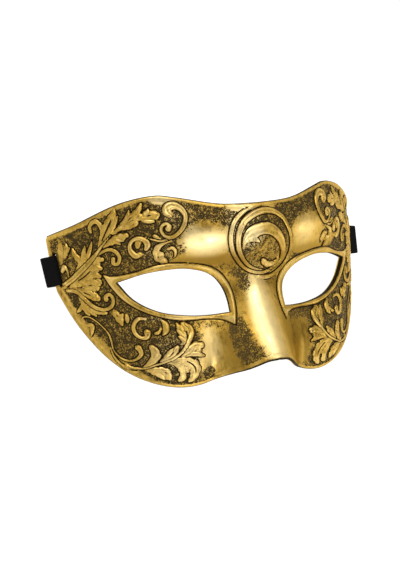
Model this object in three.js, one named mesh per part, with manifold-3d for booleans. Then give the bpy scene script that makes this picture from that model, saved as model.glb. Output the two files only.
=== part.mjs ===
// An antique-gold moulded half mask with acanthus scrolls in relief.
// It lies face up on the two lower side edges of its shell, with a short
// black elastic loop through the slot at each temple.
// +X is to the right of a person facing the mask, +Y runs from the nose edge
// to the forehead and +Z is up, with the floor at z = 0. Millimetres.
import * as THREE from "three";
import { mergeVertices } from "three/addons/utils/BufferGeometryUtils.js";
import Module from "manifold-3d";

const wasm = await Module();
wasm.setup();

// The shell, how far it is tipped back to lie face up, and the depth of its two flats
const WALL = 2.0;
const LIE_TILT = THREE.MathUtils.degToRad(40.2);
const FLAT_DEPTH = 0.35;

// Sizes of the facets, and how far the inner facets keep from the outline, eyes and slots
const FRONT_FACETS = { step: 6.0, clearance: [5.2, 6.2, 6.2, 2.6, 2.6] };
const BACK_FACETS = { step: 7.4, clearance: [3.6, 3.4, 3.4, 2.8, 2.8] };
const EDGE_STEP = 4.2;
const POINT_GAP = 2.4;
const RIM_POINT_GAP = 1.0;
const SLOT_POINT_GAP = 1.1;

// The head form: the wall bends away from the middle of the face, a little faster
// towards the temples, leans back to the forehead and bows over its height
const BEND = 0.0075;
const BEND_GROWTH = 3.6e-7;
const LEAN = -0.115;
const BOW = { depth: 1.6, halfHeight: 48, level: 5 };

// The face on the head form
const NOSE = { top: 12, length: 36, reach: 15.5, bridgeHalf: 20, wingHalf: 28.5 };
const BROW = { reach: 11, halfWidth: 59, level: 28.5, halfHeight: 19 };
const EYE_HOLLOW = { depth: 3, centre: [36, -2], spread: [32, 16] };
const CHEEK = { reach: 6.5, centre: [40, -36], spread: [25, 15] };

// Rims that stand above the wall: distances from the edge and their heights
const OUTER_RIM = { distances: [0, 1.2, 2.7], heights: [0.4, 0.9, 0] };
const EYE_RIM = { distances: [0, 1.7, 3.6], heights: [0.5, 1.3, 0] };

// Relief: how far the scrolls stand above the wall, and how deep they are set in it
const SCROLL_HEIGHT = 1.2;
const SCROLL_ROOT = 0.7;
const SCROLL_STEP = 4.4;
const LEAF_STEP = 3.7;
const FAN_STEP = 4.8;
const RING_STEP = 5.3;

// Temple slots: sides are cut into a few pieces, as the wall bends along them
const SLOT = { centre: [105.3, 4.6], lean: 0.26, width: 2.0, length: 17, pieces: 5 };

// The elastic loops: a band lies behind the wall, turns round the side edge and meets
// itself at a fold, which lies outward of the slot by its lead and its reach; the fold
// stands out sideways and leans forward a little
const BAND = { width: 15.4, thickness: 1.0, gap: 0.65, edgeLeg: 5.05, chamfer: 0.75 };
const FOLD = { lead: 2.2, reach: 6.3, forward: 0.15, opening: 0.2 };
const BAND_REST = { overEdge: 0.6, overSlot: 1.4 };

const GOLD = new THREE.Color(0.62, 0.42, 0.13);
const BLACK = new THREE.Color(0.012, 0.012, 0.013);

// The pattern is drawn flat for the right half of the mask: the first number is
// the distance along the wall from the middle of the face, the second the height.
const TOP_EDGE = [[0, 40.1], [20, 40.7], [41.5, 44.2], [51, 45], [67, 41.3], [94, 28.4], [112.4, 20.9]];
const SIDE_EDGE = [[113.2, 19.6], [111.4, 10.6], [106.9, -6.2]];
const BOTTOM_EDGE = [
  [106.2, -7.4], [92.5, -24.3], [75, -40.5], [60, -48.4], [43, -52],
  [28.5, -50], [16, -43.2], [6, -37], [0, -36],
];
const EYE_UPPER = [
  [71.2, 0.8], [55, 6], [40, 8.1], [33.5, 7.4], [27.5, 5.7], [22.2, 2.4],
  [18.6, -1.8], [16.9, -5.6], [16.2, -9.6], [16.2, -14.6],
];
const EYE_LOWER = [[16.2, -14.6], [24, -15.8], [38, -15.5], [52, -13.1], [63.4, -7.4], [71.2, 0.8]];

// Angle of the wall to the front plane at a distance from the middle, and its section
function sectionAt(distance) {
  const steps = 60;
  const step = distance / steps;
  let x = 0;
  let z = 0;
  for (let i = 0; i < steps; i += 1) {
    const d = (i + 0.5) * step;
    const angle = BEND * d + BEND_GROWTH * d ** 3;
    x += Math.cos(angle) * step;
    z -= Math.sin(angle) * step;
  }
  return [x, z];
}

// Forward reach of nose, brow, eye hollow and cheek over the plain head form
function featureReach(s, y) {
  const a = Math.abs(s);
  const square = (value, centre, width) => ((value - centre) / width) ** 2;
  const mound = ({ centre, spread }) => {
    return Math.exp(-square(a, centre[0], spread[0]) - square(y, centre[1], spread[1]));
  };
  const down = THREE.MathUtils.clamp((NOSE.top - y) / NOSE.length, 0, 1.6);
  const noseHalf = THREE.MathUtils.lerp(NOSE.bridgeHalf, NOSE.wingHalf, Math.min(down, 1));
  const noseSection = a < noseHalf ? Math.cos((Math.PI * a) / (2 * noseHalf)) ** 2 : 0;
  const nose = NOSE.reach * down * down * (1.5 - 0.5 * down) * noseSection;
  const brow = BROW.reach * Math.exp(-((a / BROW.halfWidth) ** 4) - square(y, BROW.level, BROW.halfHeight));
  const lean = LEAN * (y - BOW.level) - BOW.depth * square(y, BOW.level, BOW.halfHeight);
  return lean + nose + brow - EYE_HOLLOW.depth * mound(EYE_HOLLOW) + CHEEK.reach * mound(CHEEK);
}

// Point of the outer face in the lying pose, before the mask is set on the floor
function facePoint(s, y) {
  const [x, z] = sectionAt(Math.abs(s));
  const reach = z + featureReach(s, y);
  const cos = Math.cos(LIE_TILT);
  const sin = Math.sin(LIE_TILT);
  return new THREE.Vector3(Math.sign(s) * x, y * cos - reach * sin, y * sin + reach * cos);
}

function faceNormal(s, y) {
  const h = 0.05;
  const across = facePoint(s + h, y).sub(facePoint(s - h, y));
  const along = facePoint(s, y + h).sub(facePoint(s, y - h));
  return across.cross(along).normalize();
}

function raisedPoint(s, y, height) {
  return facePoint(s, y).addScaledVector(faceNormal(s, y), height);
}

// Evenly spaced points along a smooth line through the given points
function smoothLine(points, step) {
  const corners = points.map(([s, y]) => new THREE.Vector3(s, y, 0));
  const curve = new THREE.CatmullRomCurve3(corners, false, "centripetal");
  const count = Math.max(2, Math.round(curve.getLength() / step));
  return curve.getSpacedPoints(count).map((p) => [p.x, p.y]);
}

const mirrored = (line) => line.map(([s, y]) => [-s, y]).reverse();

function outlineLoop(step) {
  const half = [];
  for (const part of [TOP_EDGE, SIDE_EDGE, BOTTOM_EDGE]) half.push(...smoothLine(part, step));
  const other = mirrored(half);
  return [...half, ...other.slice(1, -1)];
}

function eyeLoop(side, step) {
  const upper = smoothLine(EYE_UPPER, step);
  const lower = smoothLine(EYE_LOWER, step);
  const loop = [...upper.slice(0, -1), ...lower.slice(0, -1)];
  return side > 0 ? loop : mirrored(loop);
}

function slotLoop(side) {
  const half = SLOT.length / 2;
  const cos = Math.cos(SLOT.lean);
  const sin = Math.sin(SLOT.lean);
  const loop = [];
  for (const [edge, direction] of [[1, 1], [-1, -1]]) {
    for (let i = 0; i <= SLOT.pieces; i += 1) {
      const along = direction * half * (1 - (2 * i) / SLOT.pieces);
      const across = (edge * SLOT.width) / 2;
      const s = SLOT.centre[0] + along * sin + across * cos;
      const y = SLOT.centre[1] + along * cos - across * sin;
      loop.push([s, y]);
    }
  }
  return side > 0 ? loop : mirrored(loop);
}

function distanceToLoop(loop, s, y) {
  let best = Infinity;
  for (let i = 0; i < loop.length; i += 1) {
    const [ax, ay] = loop[i];
    const [bx, by] = loop[(i + 1) % loop.length];
    const dx = bx - ax;
    const dy = by - ay;
    const t = THREE.MathUtils.clamp(((s - ax) * dx + (y - ay) * dy) / (dx * dx + dy * dy), 0, 1);
    best = Math.min(best, Math.hypot(s - ax - t * dx, y - ay - t * dy));
  }
  return best;
}

function insideLoop(loop, s, y) {
  let inside = false;
  for (let i = 0, j = loop.length - 1; i < loop.length; j = i, i += 1) {
    const [ax, ay] = loop[i];
    const [bx, by] = loop[j];
    if (ay > y !== by > y && s < ((bx - ax) * (y - ay)) / (by - ay) + ax) inside = !inside;
  }
  return inside;
}

const outline = outlineLoop(EDGE_STEP);
const eyes = [eyeLoop(1, EDGE_STEP), eyeLoop(-1, EDGE_STEP)];
const slots = [slotLoop(1), slotLoop(-1)];
const edgeLoops = [outline, ...eyes, ...slots];

const inOpening = (s, y) => [...eyes, ...slots].some((loop) => insideLoop(loop, s, y));
const inMaterial = (s, y) => insideLoop(outline, s, y) && !inOpening(s, y);

function rimProfile(rim, distance) {
  for (let i = 1; i < rim.distances.length; i += 1) {
    const from = rim.distances[i - 1];
    const to = rim.distances[i];
    if (distance <= to) {
      return THREE.MathUtils.mapLinear(distance, from, to, rim.heights[i - 1], rim.heights[i]);
    }
  }
  return 0;
}

function rimHeight(s, y) {
  const outer = rimProfile(OUTER_RIM, distanceToLoop(outline, s, y));
  const inner = eyes.map((eye) => rimProfile(EYE_RIM, distanceToLoop(eye, s, y)));
  return Math.max(outer, ...inner);
}

// Points that follow a loop at a set distance into the material
function rowBeside(loop, distance) {
  const row = [];
  for (let i = 0; i < loop.length; i += 1) {
    const [px, py] = loop[(i + loop.length - 1) % loop.length];
    const [nx, ny] = loop[(i + 1) % loop.length];
    const length = Math.hypot(nx - px, ny - py);
    for (const side of [1, -1]) {
      const s = loop[i][0] + (side * distance * (ny - py)) / length;
      const y = loop[i][1] - (side * distance * (nx - px)) / length;
      if (inMaterial(s, y) && distanceToLoop(loop, s, y) > distance * 0.93) row.push([s, y]);
    }
  }
  return row;
}

// Corners of an even field of triangles over the wall, alike on both halves
function gridPoints({ step, clearance }) {
  const points = [];
  const rowStep = (step * Math.sqrt(3)) / 2;
  const lowest = Math.min(...outline.map(([, y]) => y)) - 1;
  const highest = Math.max(...outline.map(([, y]) => y));
  const widest = Math.max(...outline.map(([s]) => s));
  for (let row = 0; lowest + row * rowStep < highest; row += 1) {
    const y = lowest + row * rowStep;
    for (let i = 0; i * step < widest; i += 1) {
      const s = (i + (row % 2) / 2) * step;
      if (!inMaterial(s, y)) continue;
      if (edgeLoops.some((loop, k) => distanceToLoop(loop, s, y) < clearance[k])) continue;
      points.push([s, y]);
      if (s > 0) points.push([-s, y]);
    }
  }
  return points;
}

function withoutCrowding(fixed, extra, gap) {
  const kept = [...fixed];
  for (const p of extra) {
    if (kept.every((q) => Math.hypot(p[0] - q[0], p[1] - q[1]) > gap)) kept.push(p);
  }
  return kept;
}

// Delaunay triangles of flat points, by inserting them one at a time
function triangulate(points) {
  const farCorners = [[-900, -700], [900, -700], [0, 1100]];
  const all = [...points, ...farCorners];
  const first = points.length;
  const circle = (a, b, c) => {
    const [ax, ay] = all[a];
    const [bx, by] = [all[b][0] - ax, all[b][1] - ay];
    const [cx, cy] = [all[c][0] - ax, all[c][1] - ay];
    const d = 2 * (bx * cy - by * cx);
    const ux = (cy * (bx * bx + by * by) - by * (cx * cx + cy * cy)) / d;
    const uy = (bx * (cx * cx + cy * cy) - cx * (bx * bx + by * by)) / d;
    return { a, b, c, x: ax + ux, y: ay + uy, r: ux * ux + uy * uy };
  };
  let triangles = [circle(first, first + 1, first + 2)];
  points.forEach(([px, py], p) => {
    const edges = new Map();
    const kept = [];
    for (const t of triangles) {
      if ((px - t.x) ** 2 + (py - t.y) ** 2 >= t.r * (1 - 1e-9)) {
        kept.push(t);
        continue;
      }
      for (const [u, v] of [[t.a, t.b], [t.b, t.c], [t.c, t.a]]) {
        const back = `${v},${u}`;
        if (edges.has(back)) edges.delete(back);
        else edges.set(`${u},${v}`, [u, v]);
      }
    }
    for (const [u, v] of edges.values()) kept.push(circle(u, v, p));
    triangles = kept;
  });
  return triangles.filter((t) => Math.max(t.a, t.b, t.c) < first).map((t) => [t.a, t.b, t.c]);
}

const closedBody = (geometry) => {
  const bare = geometry.clone();
  bare.deleteAttribute("normal");
  bare.deleteAttribute("uv");
  const merged = mergeVertices(bare, 1e-4);
  return new wasm.Manifold(new wasm.Mesh({
    numProp: 3,
    vertProperties: new Float32Array(merged.attributes.position.array),
    triVerts: new Uint32Array(merged.index.array),
  }));
};

function geometryOf(vertices, triangles) {
  const geometry = new THREE.BufferGeometry();
  const coordinates = vertices.flatMap((v) => v.toArray());
  geometry.setAttribute("position", new THREE.Float32BufferAttribute(coordinates, 3));
  geometry.setIndex(triangles.flat());
  return geometry;
}

function shellBody() {
  const border = edgeLoops.flat();
  const rows = [
    ...OUTER_RIM.distances.slice(1).flatMap((d) => rowBeside(outline, d)),
    ...eyes.flatMap((eye) => EYE_RIM.distances.slice(1).flatMap((d) => rowBeside(eye, d))),
  ].filter(([s, y]) => slots.every((slot) => distanceToLoop(slot, s, y) > SLOT_POINT_GAP));
  const rimmed = withoutCrowding(border, rows, RIM_POINT_GAP);
  const front = withoutCrowding(rimmed, gridPoints(FRONT_FACETS), POINT_GAP);
  const back = withoutCrowding(border, gridPoints(BACK_FACETS), POINT_GAP);
  const vertices = front.map(([s, y]) => raisedPoint(s, y, rimHeight(s, y)));
  const offset = vertices.length;
  vertices.push(...back.map(([s, y]) => raisedPoint(s, y, -WALL)));
  const centroidInside = (points, t) => {
    const s = (points[t[0]][0] + points[t[1]][0] + points[t[2]][0]) / 3;
    const y = (points[t[0]][1] + points[t[1]][1] + points[t[2]][1]) / 3;
    return inMaterial(s, y);
  };
  const upward = (points, [a, b, c]) => {
    const [ax, ay] = points[a];
    const turn = (points[b][0] - ax) * (points[c][1] - ay) - (points[b][1] - ay) * (points[c][0] - ax);
    return turn > 0 ? [a, b, c] : [a, c, b];
  };
  const faces = [];
  for (const t of triangulate(front)) {
    if (centroidInside(front, t)) faces.push(upward(front, t));
  }
  for (const t of triangulate(back)) {
    if (!centroidInside(back, t)) continue;
    const [a, b, c] = upward(back, t);
    faces.push([offset + a, offset + c, offset + b]);
  }
  let start = 0;
  for (const loop of edgeLoops) {
    const [ax, ay] = loop[0];
    const [bx, by] = loop[1];
    const probe = [(ax + bx) / 2 - (by - ay) * 0.02, (ay + by) / 2 + (bx - ax) * 0.02];
    const materialLeft = inMaterial(...probe);
    for (let i = 0; i < loop.length; i += 1) {
      const p = start + i;
      const q = start + ((i + 1) % loop.length);
      const [u, v] = materialLeft ? [p, q] : [q, p];
      faces.push([u, offset + v, v], [u, offset + u, offset + v]);
    }
    start += loop.length;
  }
  return closedBody(geometryOf(vertices, faces));
}

// Faces of a closed tube whose sections, of a few corners each, follow one another in a ring
function tubeFaces(sections, corners) {
  const faces = [];
  for (let i = 0; i < sections; i += 1) {
    const next = (i + 1) % sections;
    for (let k = 0; k < corners; k += 1) {
      const a = i * corners + k;
      const b = i * corners + ((k + 1) % corners);
      const c = next * corners + k;
      const d = next * corners + ((k + 1) % corners);
      faces.push([a, d, c], [a, b, d]);
    }
  }
  return faces;
}

// A raised stroke with a ridge, along a line in the pattern; width and height are
// functions of the place along it, from 0 to 1
function strokeBody(line, width, height) {
  const last = line.length - 1;
  const vertices = [];
  line.forEach(([s, y], i) => {
    const before = line[Math.max(i - 1, 0)];
    const after = line[Math.min(i + 1, last)];
    const length = Math.hypot(after[0] - before[0], after[1] - before[1]);
    const across = [(before[1] - after[1]) / length, (after[0] - before[0]) / length];
    const w = width(i / last) / 2;
    const h = height(i / last);
    for (const [side, level] of [[1, -SCROLL_ROOT], [0, h], [-1, -SCROLL_ROOT]]) {
      vertices.push(raisedPoint(s + across[0] * w * side, y + across[1] * w * side, level));
    }
  });
  const faces = [[0, 2, 1]];
  for (let i = 0; i < last; i += 1) {
    for (let k = 0; k < 3; k += 1) {
      const a = i * 3 + k;
      const b = i * 3 + ((k + 1) % 3);
      faces.push([a, b + 3, a + 3], [a, b, b + 3]);
    }
  }
  const end = last * 3;
  faces.push([end, end + 1, end + 2]);
  return closedBody(geometryOf(vertices, faces));
}

// Relief of the right half: stems and curls run from a first width to a last one,
// and a curl may end in a round knob
const STEMS = [
  { widths: [3, 1.8], line: [[101, -3.5], [89.3, 4.9], [81.5, 14.5], [74.8, 22.2], [69, 29]] },
  {
    widths: [2.8, 1.8],
    knob: 3.4,
    line: [[98.5, -5.6], [90, -8.8], [83.3, -11.3], [77.5, -13], [73.6, -9], [76.8, -6]],
  },
  {
    widths: [1.6, 2],
    knob: 4,
    line: [
      [91, -20.3], [89, -17.4], [82, -19.6], [77.4, -24.8], [75.4, -33],
      [71.8, -37.3], [67, -38.2], [62, -35], [62.6, -31],
    ],
  },
  {
    widths: [1.6, 2],
    line: [[77.2, -31.2], [73.4, -38.1], [65, -41.9], [55.3, -39.6], [47, -36], [40.8, -29.7]],
  },
  {
    widths: [3.6, 1.8],
    knob: 3.2,
    line: [
      [47, 34.4], [45.8, 38.4], [42.6, 41], [38.4, 36.4],
      [39.6, 29.2], [45, 25], [50.6, 27.6], [48.2, 31],
    ],
  },
  { widths: [1.8, 1], line: [[44.5, 25], [50.8, 23.1], [57.3, 24.6]] },
  { widths: [2.8, 3.2], line: [[60.6, 15.4], [64.4, 15.2], [64.6, 21.2], [59.4, 24], [57.4, 18.6]] },
  {
    widths: [2.2, 2],
    knob: 3.2,
    line: [[79.6, 19], [77.9, 26], [80.4, 31.8], [84.6, 29.4], [83.2, 26.6]],
  },
  {
    widths: [2.2, 1.8],
    knob: 3.2,
    line: [[81.5, 13.8], [75.5, 17.8], [69.8, 16], [70.2, 10.2], [73.4, 11.4]],
  },
  { widths: [1.6, 2.6], line: [[100.9, -0.5], [98.6, 3.6], [100.6, 7.3], [102.6, 5]] },
  {
    widths: [2, 2.2],
    knob: 3.6,
    line: [[58.2, -17.2], [63.4, -18], [64.4, -23.6], [60, -26.6], [57.8, -23.8]],
  },
];

// Leaves swell from root to tip, and a lobed leaf has a wavy edge
const LEAVES = [
  { line: [[79, 18], [76.6, 26], [73.6, 33], [70.2, 38.6]], width: 5.2, lobes: 2 },
  { line: [[71, 28.5], [66, 34], [61.5, 37.8], [58, 40.9]], width: 4.8, lobes: 2 },
  { line: [[71, 28], [66, 30.6], [60.6, 31.2]], width: 4.2, lobes: 1 },
  { line: [[62, 33], [56.4, 35.2], [50.6, 36.3]], width: 6.4, lobes: 2 },
  { line: [[77, 19], [72.5, 24.4], [66, 25.6]], width: 5.2, lobes: 2 },
  { line: [[44, 25.2], [50, 22.5], [53.4, 17.9], [50.5, 12], [46.2, 12.2]], width: 4.6, lobes: 1 },
  { line: [[50.5, -18], [47.6, -20.8], [49.4, -24.2], [53.8, -23.9]], width: 3.4, lobes: 1 },
  { line: [[57, -31], [53.8, -32], [54.2, -36.4], [61, -41.5]], width: 4, lobes: 1 },
  { line: [[54, -38.6], [50, -35], [44.9, -30.2]], width: 3.4, lobes: 1 },
  { line: [[42, -34.5], [37, -31], [33, -28.8]], width: 3.2, lobes: 1 },
  { line: [[41, -35.4], [36, -33.7], [31.6, -31.8]], width: 2.8, lobes: 1 },
  { line: [[50, -37.6], [42, -36.4], [34.6, -38.6], [33.6, -43.4], [38.5, -48]], width: 5, lobes: 2 },
  { line: [[46, -39], [42.4, -41], [42, -45], [43.4, -48.2]], width: 3.4, lobes: 1 },
  { line: [[60, -42.4], [53.5, -41.4], [49, -43.8], [49.8, -47.4]], width: 4.2, lobes: 1 },
  { line: [[41.5, -31.5], [37.2, -27], [35.6, -23], [38.3, -19.8]], width: 4.6, lobes: 1 },
  { line: [[42, -30], [42.6, -25], [43.3, -19.2]], width: 3.4, lobes: 1 },
  { line: [[71.3, -13.4], [71, -16.8], [70.4, -20]], width: 4, lobes: 1 },
  { line: [[92, -8.6], [87, -13], [83.4, -16.4]], width: 4.4, lobes: 1 },
  { line: [[86, -10.6], [81.6, -14], [77.8, -15.4]], width: 3.8, lobes: 1 },
];

// The broad leaves at the temple are fans of lobes: root line, tip line, count and width
const FANS = [
  { roots: [[85, 11], [97.5, -3]], tips: [[77, 13], [81.6, -8.4]], bow: -2.2, count: 5, width: 5.4 },
  { roots: [[86.6, 9], [95, 1]], tips: [[83.6, 18.4], [99.6, 18.6]], bow: 0, count: 3, width: 5.4 },
];

// The roundel on the forehead, drawn once about the middle of the face
const ROUNDEL_RINGS = [{ centre: [0.6, 19.2], radius: 17.4 }, { centre: [1.8, 17.9], radius: 14.4 }];
const RING_WIDTH = 1.9;
const ROUNDEL_LEAVES = [
  {
    line: [[9.6, 5.6], [14, 12.5], [12.6, 22], [6.5, 27.2], [-1.5, 26.8], [-7.5, 22.5], [-9.8, 17]],
    width: 5.6,
    lobes: 0,
  },
  { line: [[-7.6, 23], [-3.8, 21.6], [-0.4, 20.2]], width: 4, lobes: 0 },
  { line: [[12.6, 13.4], [11, 9], [6.6, 7.6], [3.2, 11]], width: 3.6, lobes: 0 },
];

// A stem tapers evenly and its knob takes the last part of it; its two ends are lower
const KNOB_START = 0.88;
const END_HEIGHT = 0.75;

function stemBody(line, [from, to], knob = to) {
  const width = (t) => (t > KNOB_START ? knob : THREE.MathUtils.lerp(from, to, t));
  const height = (t) => SCROLL_HEIGHT * (t === 0 || t === 1 ? END_HEIGHT : 1);
  return strokeBody(smoothLine(line, SCROLL_STEP), width, height);
}

// A leaf is widest and highest about its middle and comes to a narrow tip
const LEAF_TIP = 0.9;
const LOBE_DEPTH = 0.16;

function leafBody(line, width, lobes, step) {
  const swell = (t) => Math.sin(Math.PI * (0.12 + 0.86 * t)) ** 0.7;
  const wave = (t) => (lobes ? 1 + LOBE_DEPTH * Math.cos(2 * Math.PI * (lobes + 0.5) * t) : 1);
  const widthAt = (t) => Math.max(LEAF_TIP, width * swell(t) * wave(t));
  return strokeBody(smoothLine(line, step), widthAt, (t) => SCROLL_HEIGHT * (0.7 + 0.5 * swell(t)));
}

function fanLines({ roots, tips, bow, count }) {
  const lines = [];
  for (let i = 0; i < count; i += 1) {
    const t = i / (count - 1);
    const at = ([a, b]) => [THREE.MathUtils.lerp(a[0], b[0], t), THREE.MathUtils.lerp(a[1], b[1], t)];
    const root = at(roots);
    const tip = at(tips);
    const bend = bow * Math.sin(Math.PI * t);
    lines.push([root, [(root[0] + tip[0]) / 2, (root[1] + tip[1]) / 2], [tip[0] + bend, tip[1]]]);
  }
  return lines;
}

function ringLine([cs, cy], radius) {
  const count = Math.round((2 * Math.PI * radius) / RING_STEP);
  const line = [];
  for (let i = 0; i < count; i += 1) {
    const angle = (2 * Math.PI * i) / count;
    line.push([cs + radius * Math.cos(angle), cy + radius * Math.sin(angle)]);
  }
  return line;
}

function ringBody(centre, radius, width) {
  const line = ringLine(centre, radius);
  const vertices = [];
  for (const [s, y] of line) {
    const out = [(s - centre[0]) / radius, (y - centre[1]) / radius];
    for (const [side, level] of [[-1, -SCROLL_ROOT], [0, SCROLL_HEIGHT], [1, -SCROLL_ROOT]]) {
      vertices.push(raisedPoint(s + (out[0] * width * side) / 2, y + (out[1] * width * side) / 2, level));
    }
  }
  return closedBody(geometryOf(vertices, tubeFaces(line.length, 3)));
}

function reliefBodies() {
  const bodies = [];
  for (const side of [1, -1]) {
    const place = (line) => line.map(([s, y]) => [side * s, y]);
    for (const { line, widths, knob } of STEMS) bodies.push(stemBody(place(line), widths, knob));
    for (const { line, width, lobes } of LEAVES) {
      bodies.push(leafBody(place(line), width, lobes, LEAF_STEP));
    }
    for (const fan of FANS) {
      for (const line of fanLines(fan)) bodies.push(leafBody(place(line), fan.width, 0, FAN_STEP));
    }
  }
  for (const { centre, radius } of ROUNDEL_RINGS) bodies.push(ringBody(centre, radius, RING_WIDTH));
  for (const { line, width, lobes } of ROUNDEL_LEAVES) {
    bodies.push(leafBody(line, width, lobes, SCROLL_STEP));
  }
  return bodies;
}

function boxBody(size, centre) {
  const box = new THREE.BoxGeometry(size.x, size.y, size.z);
  box.translate(centre.x, centre.y, centre.z);
  return closedBody(box);
}

const lowestOf = (body) => body.boundingBox().min[2];

// The mask is set down on two small flats, one under each lower side edge
function maskOnFlats() {
  let body = shellBody();
  for (const relief of reliefBodies()) body = body.add(relief);
  const floor = lowestOf(body) + FLAT_DEPTH;
  const cutter = new THREE.Vector3(300, 300, 20);
  const below = boxBody(cutter, new THREE.Vector3(0, 0, floor - cutter.z / 2));
  return { body: body.subtract(below), floor };
}

// Axes at a temple slot: out past the side edge, out of the wall, and along the slot
function slotAxes(side) {
  const [s, y] = SLOT.centre;
  const along = [Math.sin(SLOT.lean), Math.cos(SLOT.lean)];
  const centre = facePoint(side * s, y);
  const upper = facePoint(side * (s + along[0]), y + along[1]);
  const normal = faceNormal(side * s, y);
  const edgeway = upper.sub(centre).normalize();
  const outward = new THREE.Vector3().crossVectors(edgeway, normal).normalize();
  if (outward.x * side < 0) outward.negate();
  return { centre, outward, normal, along: new THREE.Vector3().crossVectors(outward, normal) };
}

// A closed elastic band that goes through the slot, round the side edge and out to a fold
function bandGeometry(side) {
  const { centre, outward, normal, along } = slotAxes(side);
  const sideways = new THREE.Vector3(side * Math.cos(FOLD.forward), 0, Math.sin(FOLD.forward));
  sideways.applyAxisAngle(new THREE.Vector3(1, 0, 0), LIE_TILT);
  const direction = new THREE.Vector2(sideways.dot(outward), sideways.dot(normal)).normalize();
  const lean = new THREE.Vector2(-direction.y, direction.x);
  const half = BAND.thickness / 2;
  const edge = BAND.edgeLeg;
  const back = -WALL - BAND.gap - half;
  const loop = (grow) => {
    const bend = BAND.chamfer + 0.7 * grow;
    const spread = (BAND.thickness + FOLD.opening) / 2 + grow;
    const fold = new THREE.Vector2(FOLD.lead, 0).addScaledVector(direction, FOLD.reach + grow);
    return [
      new THREE.Vector2(-grow, back - grow),
      new THREE.Vector2(edge + grow - bend, back - grow),
      new THREE.Vector2(edge + grow, back - grow + bend),
      new THREE.Vector2(edge + grow, BAND_REST.overEdge),
      fold.clone().addScaledVector(lean, -spread),
      fold.clone().addScaledVector(lean, spread),
      new THREE.Vector2(-grow, BAND_REST.overSlot),
    ];
  };
  const corners = [loop(half), loop(-half)];
  const vertices = [];
  for (let i = 0; i < corners[0].length; i += 1) {
    for (const [skin, end] of [[0, 1], [0, -1], [1, -1], [1, 1]]) {
      vertices.push(new THREE.Vector3(corners[skin][i].x, corners[skin][i].y, (end * BAND.width) / 2));
    }
  }
  const geometry = geometryOf(vertices, tubeFaces(corners[0].length, 4));
  const frame = new THREE.Matrix4().makeBasis(outward, normal, along).setPosition(centre);
  return geometry.applyMatrix4(frame);
}

function meshOf(name, geometry, material) {
  const mesh = new THREE.Mesh(geometry, material);
  mesh.name = name;
  return mesh;
}

function bodyGeometry(body) {
  const mesh = body.getMesh();
  const geometry = new THREE.BufferGeometry();
  geometry.setAttribute("position", new THREE.Float32BufferAttribute(mesh.vertProperties, 3));
  geometry.setIndex(new THREE.Uint32BufferAttribute(mesh.triVerts, 1));
  return geometry;
}

const gold = new THREE.MeshStandardMaterial({ color: GOLD, roughness: 0.35, metalness: 0.8 });
const elastic = new THREE.MeshStandardMaterial({ color: BLACK, roughness: 0.9, metalness: 0 });

const { body: mask, floor } = maskOnFlats();
const model = new THREE.Group();
model.add(meshOf("mask_shell", bodyGeometry(mask), gold));
model.add(meshOf("strap_loop_right", bandGeometry(1), elastic));
model.add(meshOf("strap_loop_left", bandGeometry(-1), elastic.clone()));

const box = new THREE.Box3().setFromObject(model);
model.position.set(-(box.min.x + box.max.x) / 2, -(box.min.y + box.max.y) / 2, -floor);

export default model;
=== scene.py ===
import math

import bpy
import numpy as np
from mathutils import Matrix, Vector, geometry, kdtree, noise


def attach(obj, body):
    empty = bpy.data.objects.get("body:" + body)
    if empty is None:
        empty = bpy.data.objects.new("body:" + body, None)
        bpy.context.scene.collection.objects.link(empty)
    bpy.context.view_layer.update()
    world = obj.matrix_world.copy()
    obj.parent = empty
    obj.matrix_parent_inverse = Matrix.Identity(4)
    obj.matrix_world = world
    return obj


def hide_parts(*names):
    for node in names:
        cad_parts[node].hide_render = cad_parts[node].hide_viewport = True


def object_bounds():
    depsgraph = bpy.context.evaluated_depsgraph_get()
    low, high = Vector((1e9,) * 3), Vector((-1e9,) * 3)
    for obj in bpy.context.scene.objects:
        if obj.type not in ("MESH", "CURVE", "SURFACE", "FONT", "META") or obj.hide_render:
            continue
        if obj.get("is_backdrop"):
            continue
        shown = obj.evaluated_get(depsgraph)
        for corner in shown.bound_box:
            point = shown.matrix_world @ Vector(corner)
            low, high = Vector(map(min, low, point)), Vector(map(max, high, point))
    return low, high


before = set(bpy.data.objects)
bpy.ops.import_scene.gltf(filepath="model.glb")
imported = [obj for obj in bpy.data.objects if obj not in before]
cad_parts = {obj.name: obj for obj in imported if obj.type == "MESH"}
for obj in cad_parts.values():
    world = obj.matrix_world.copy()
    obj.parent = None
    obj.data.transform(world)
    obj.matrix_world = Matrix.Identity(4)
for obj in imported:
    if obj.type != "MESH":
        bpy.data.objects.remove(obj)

# %% [markdown]
# # An antique-gold half mask with leaf scrolls
#
# The object is a moulded costume mask that covers the upper half of a face. Its wall is a
# 2 mm plastic shell, painted gold and rubbed with dark brown wax that stays in the hollows.
# A short black elastic loop goes through a slot at each temple.
#
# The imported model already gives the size, the place and the main shape of all three pieces.
# This script makes finer pieces in the same places: one dense mesh for the shell with its
# scrolls, and two woven loops. All lengths below are in millimetres and are turned into
# metres only where they are handed to Blender.

MM = 0.001
cad_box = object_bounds()
print("model box in mm:", [round(v / MM, 1) for corner in cad_box for v in corner])

# %% [markdown]
# ## The camera
#
# The photograph looks at an upright mask from the left and from a little above. Our mask
# lies face up, so the camera is placed for the upright mask first and is then tipped back
# together with it. A long lens, far away, keeps the near and the far half in proportion.

# %% The tilt that lays the mask face up
LIE_TILT = math.radians(40.2)
SET_DOWN = np.array([0.0, -3.7404518, 41.6504883])


def lay_back(vectors):
    """Turns directions of the upright mask into directions of the lying one."""
    x, y, z = np.moveaxis(np.asarray(vectors, float), -1, 0)
    cos, sin = math.cos(LIE_TILT), math.sin(LIE_TILT)
    return np.stack([x, y * cos - z * sin, y * sin + z * cos], axis=-1)


def set_down(points):
    """Turns points of the upright mask into points of the mask on the floor."""
    return lay_back(points) + SET_DOWN


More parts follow.
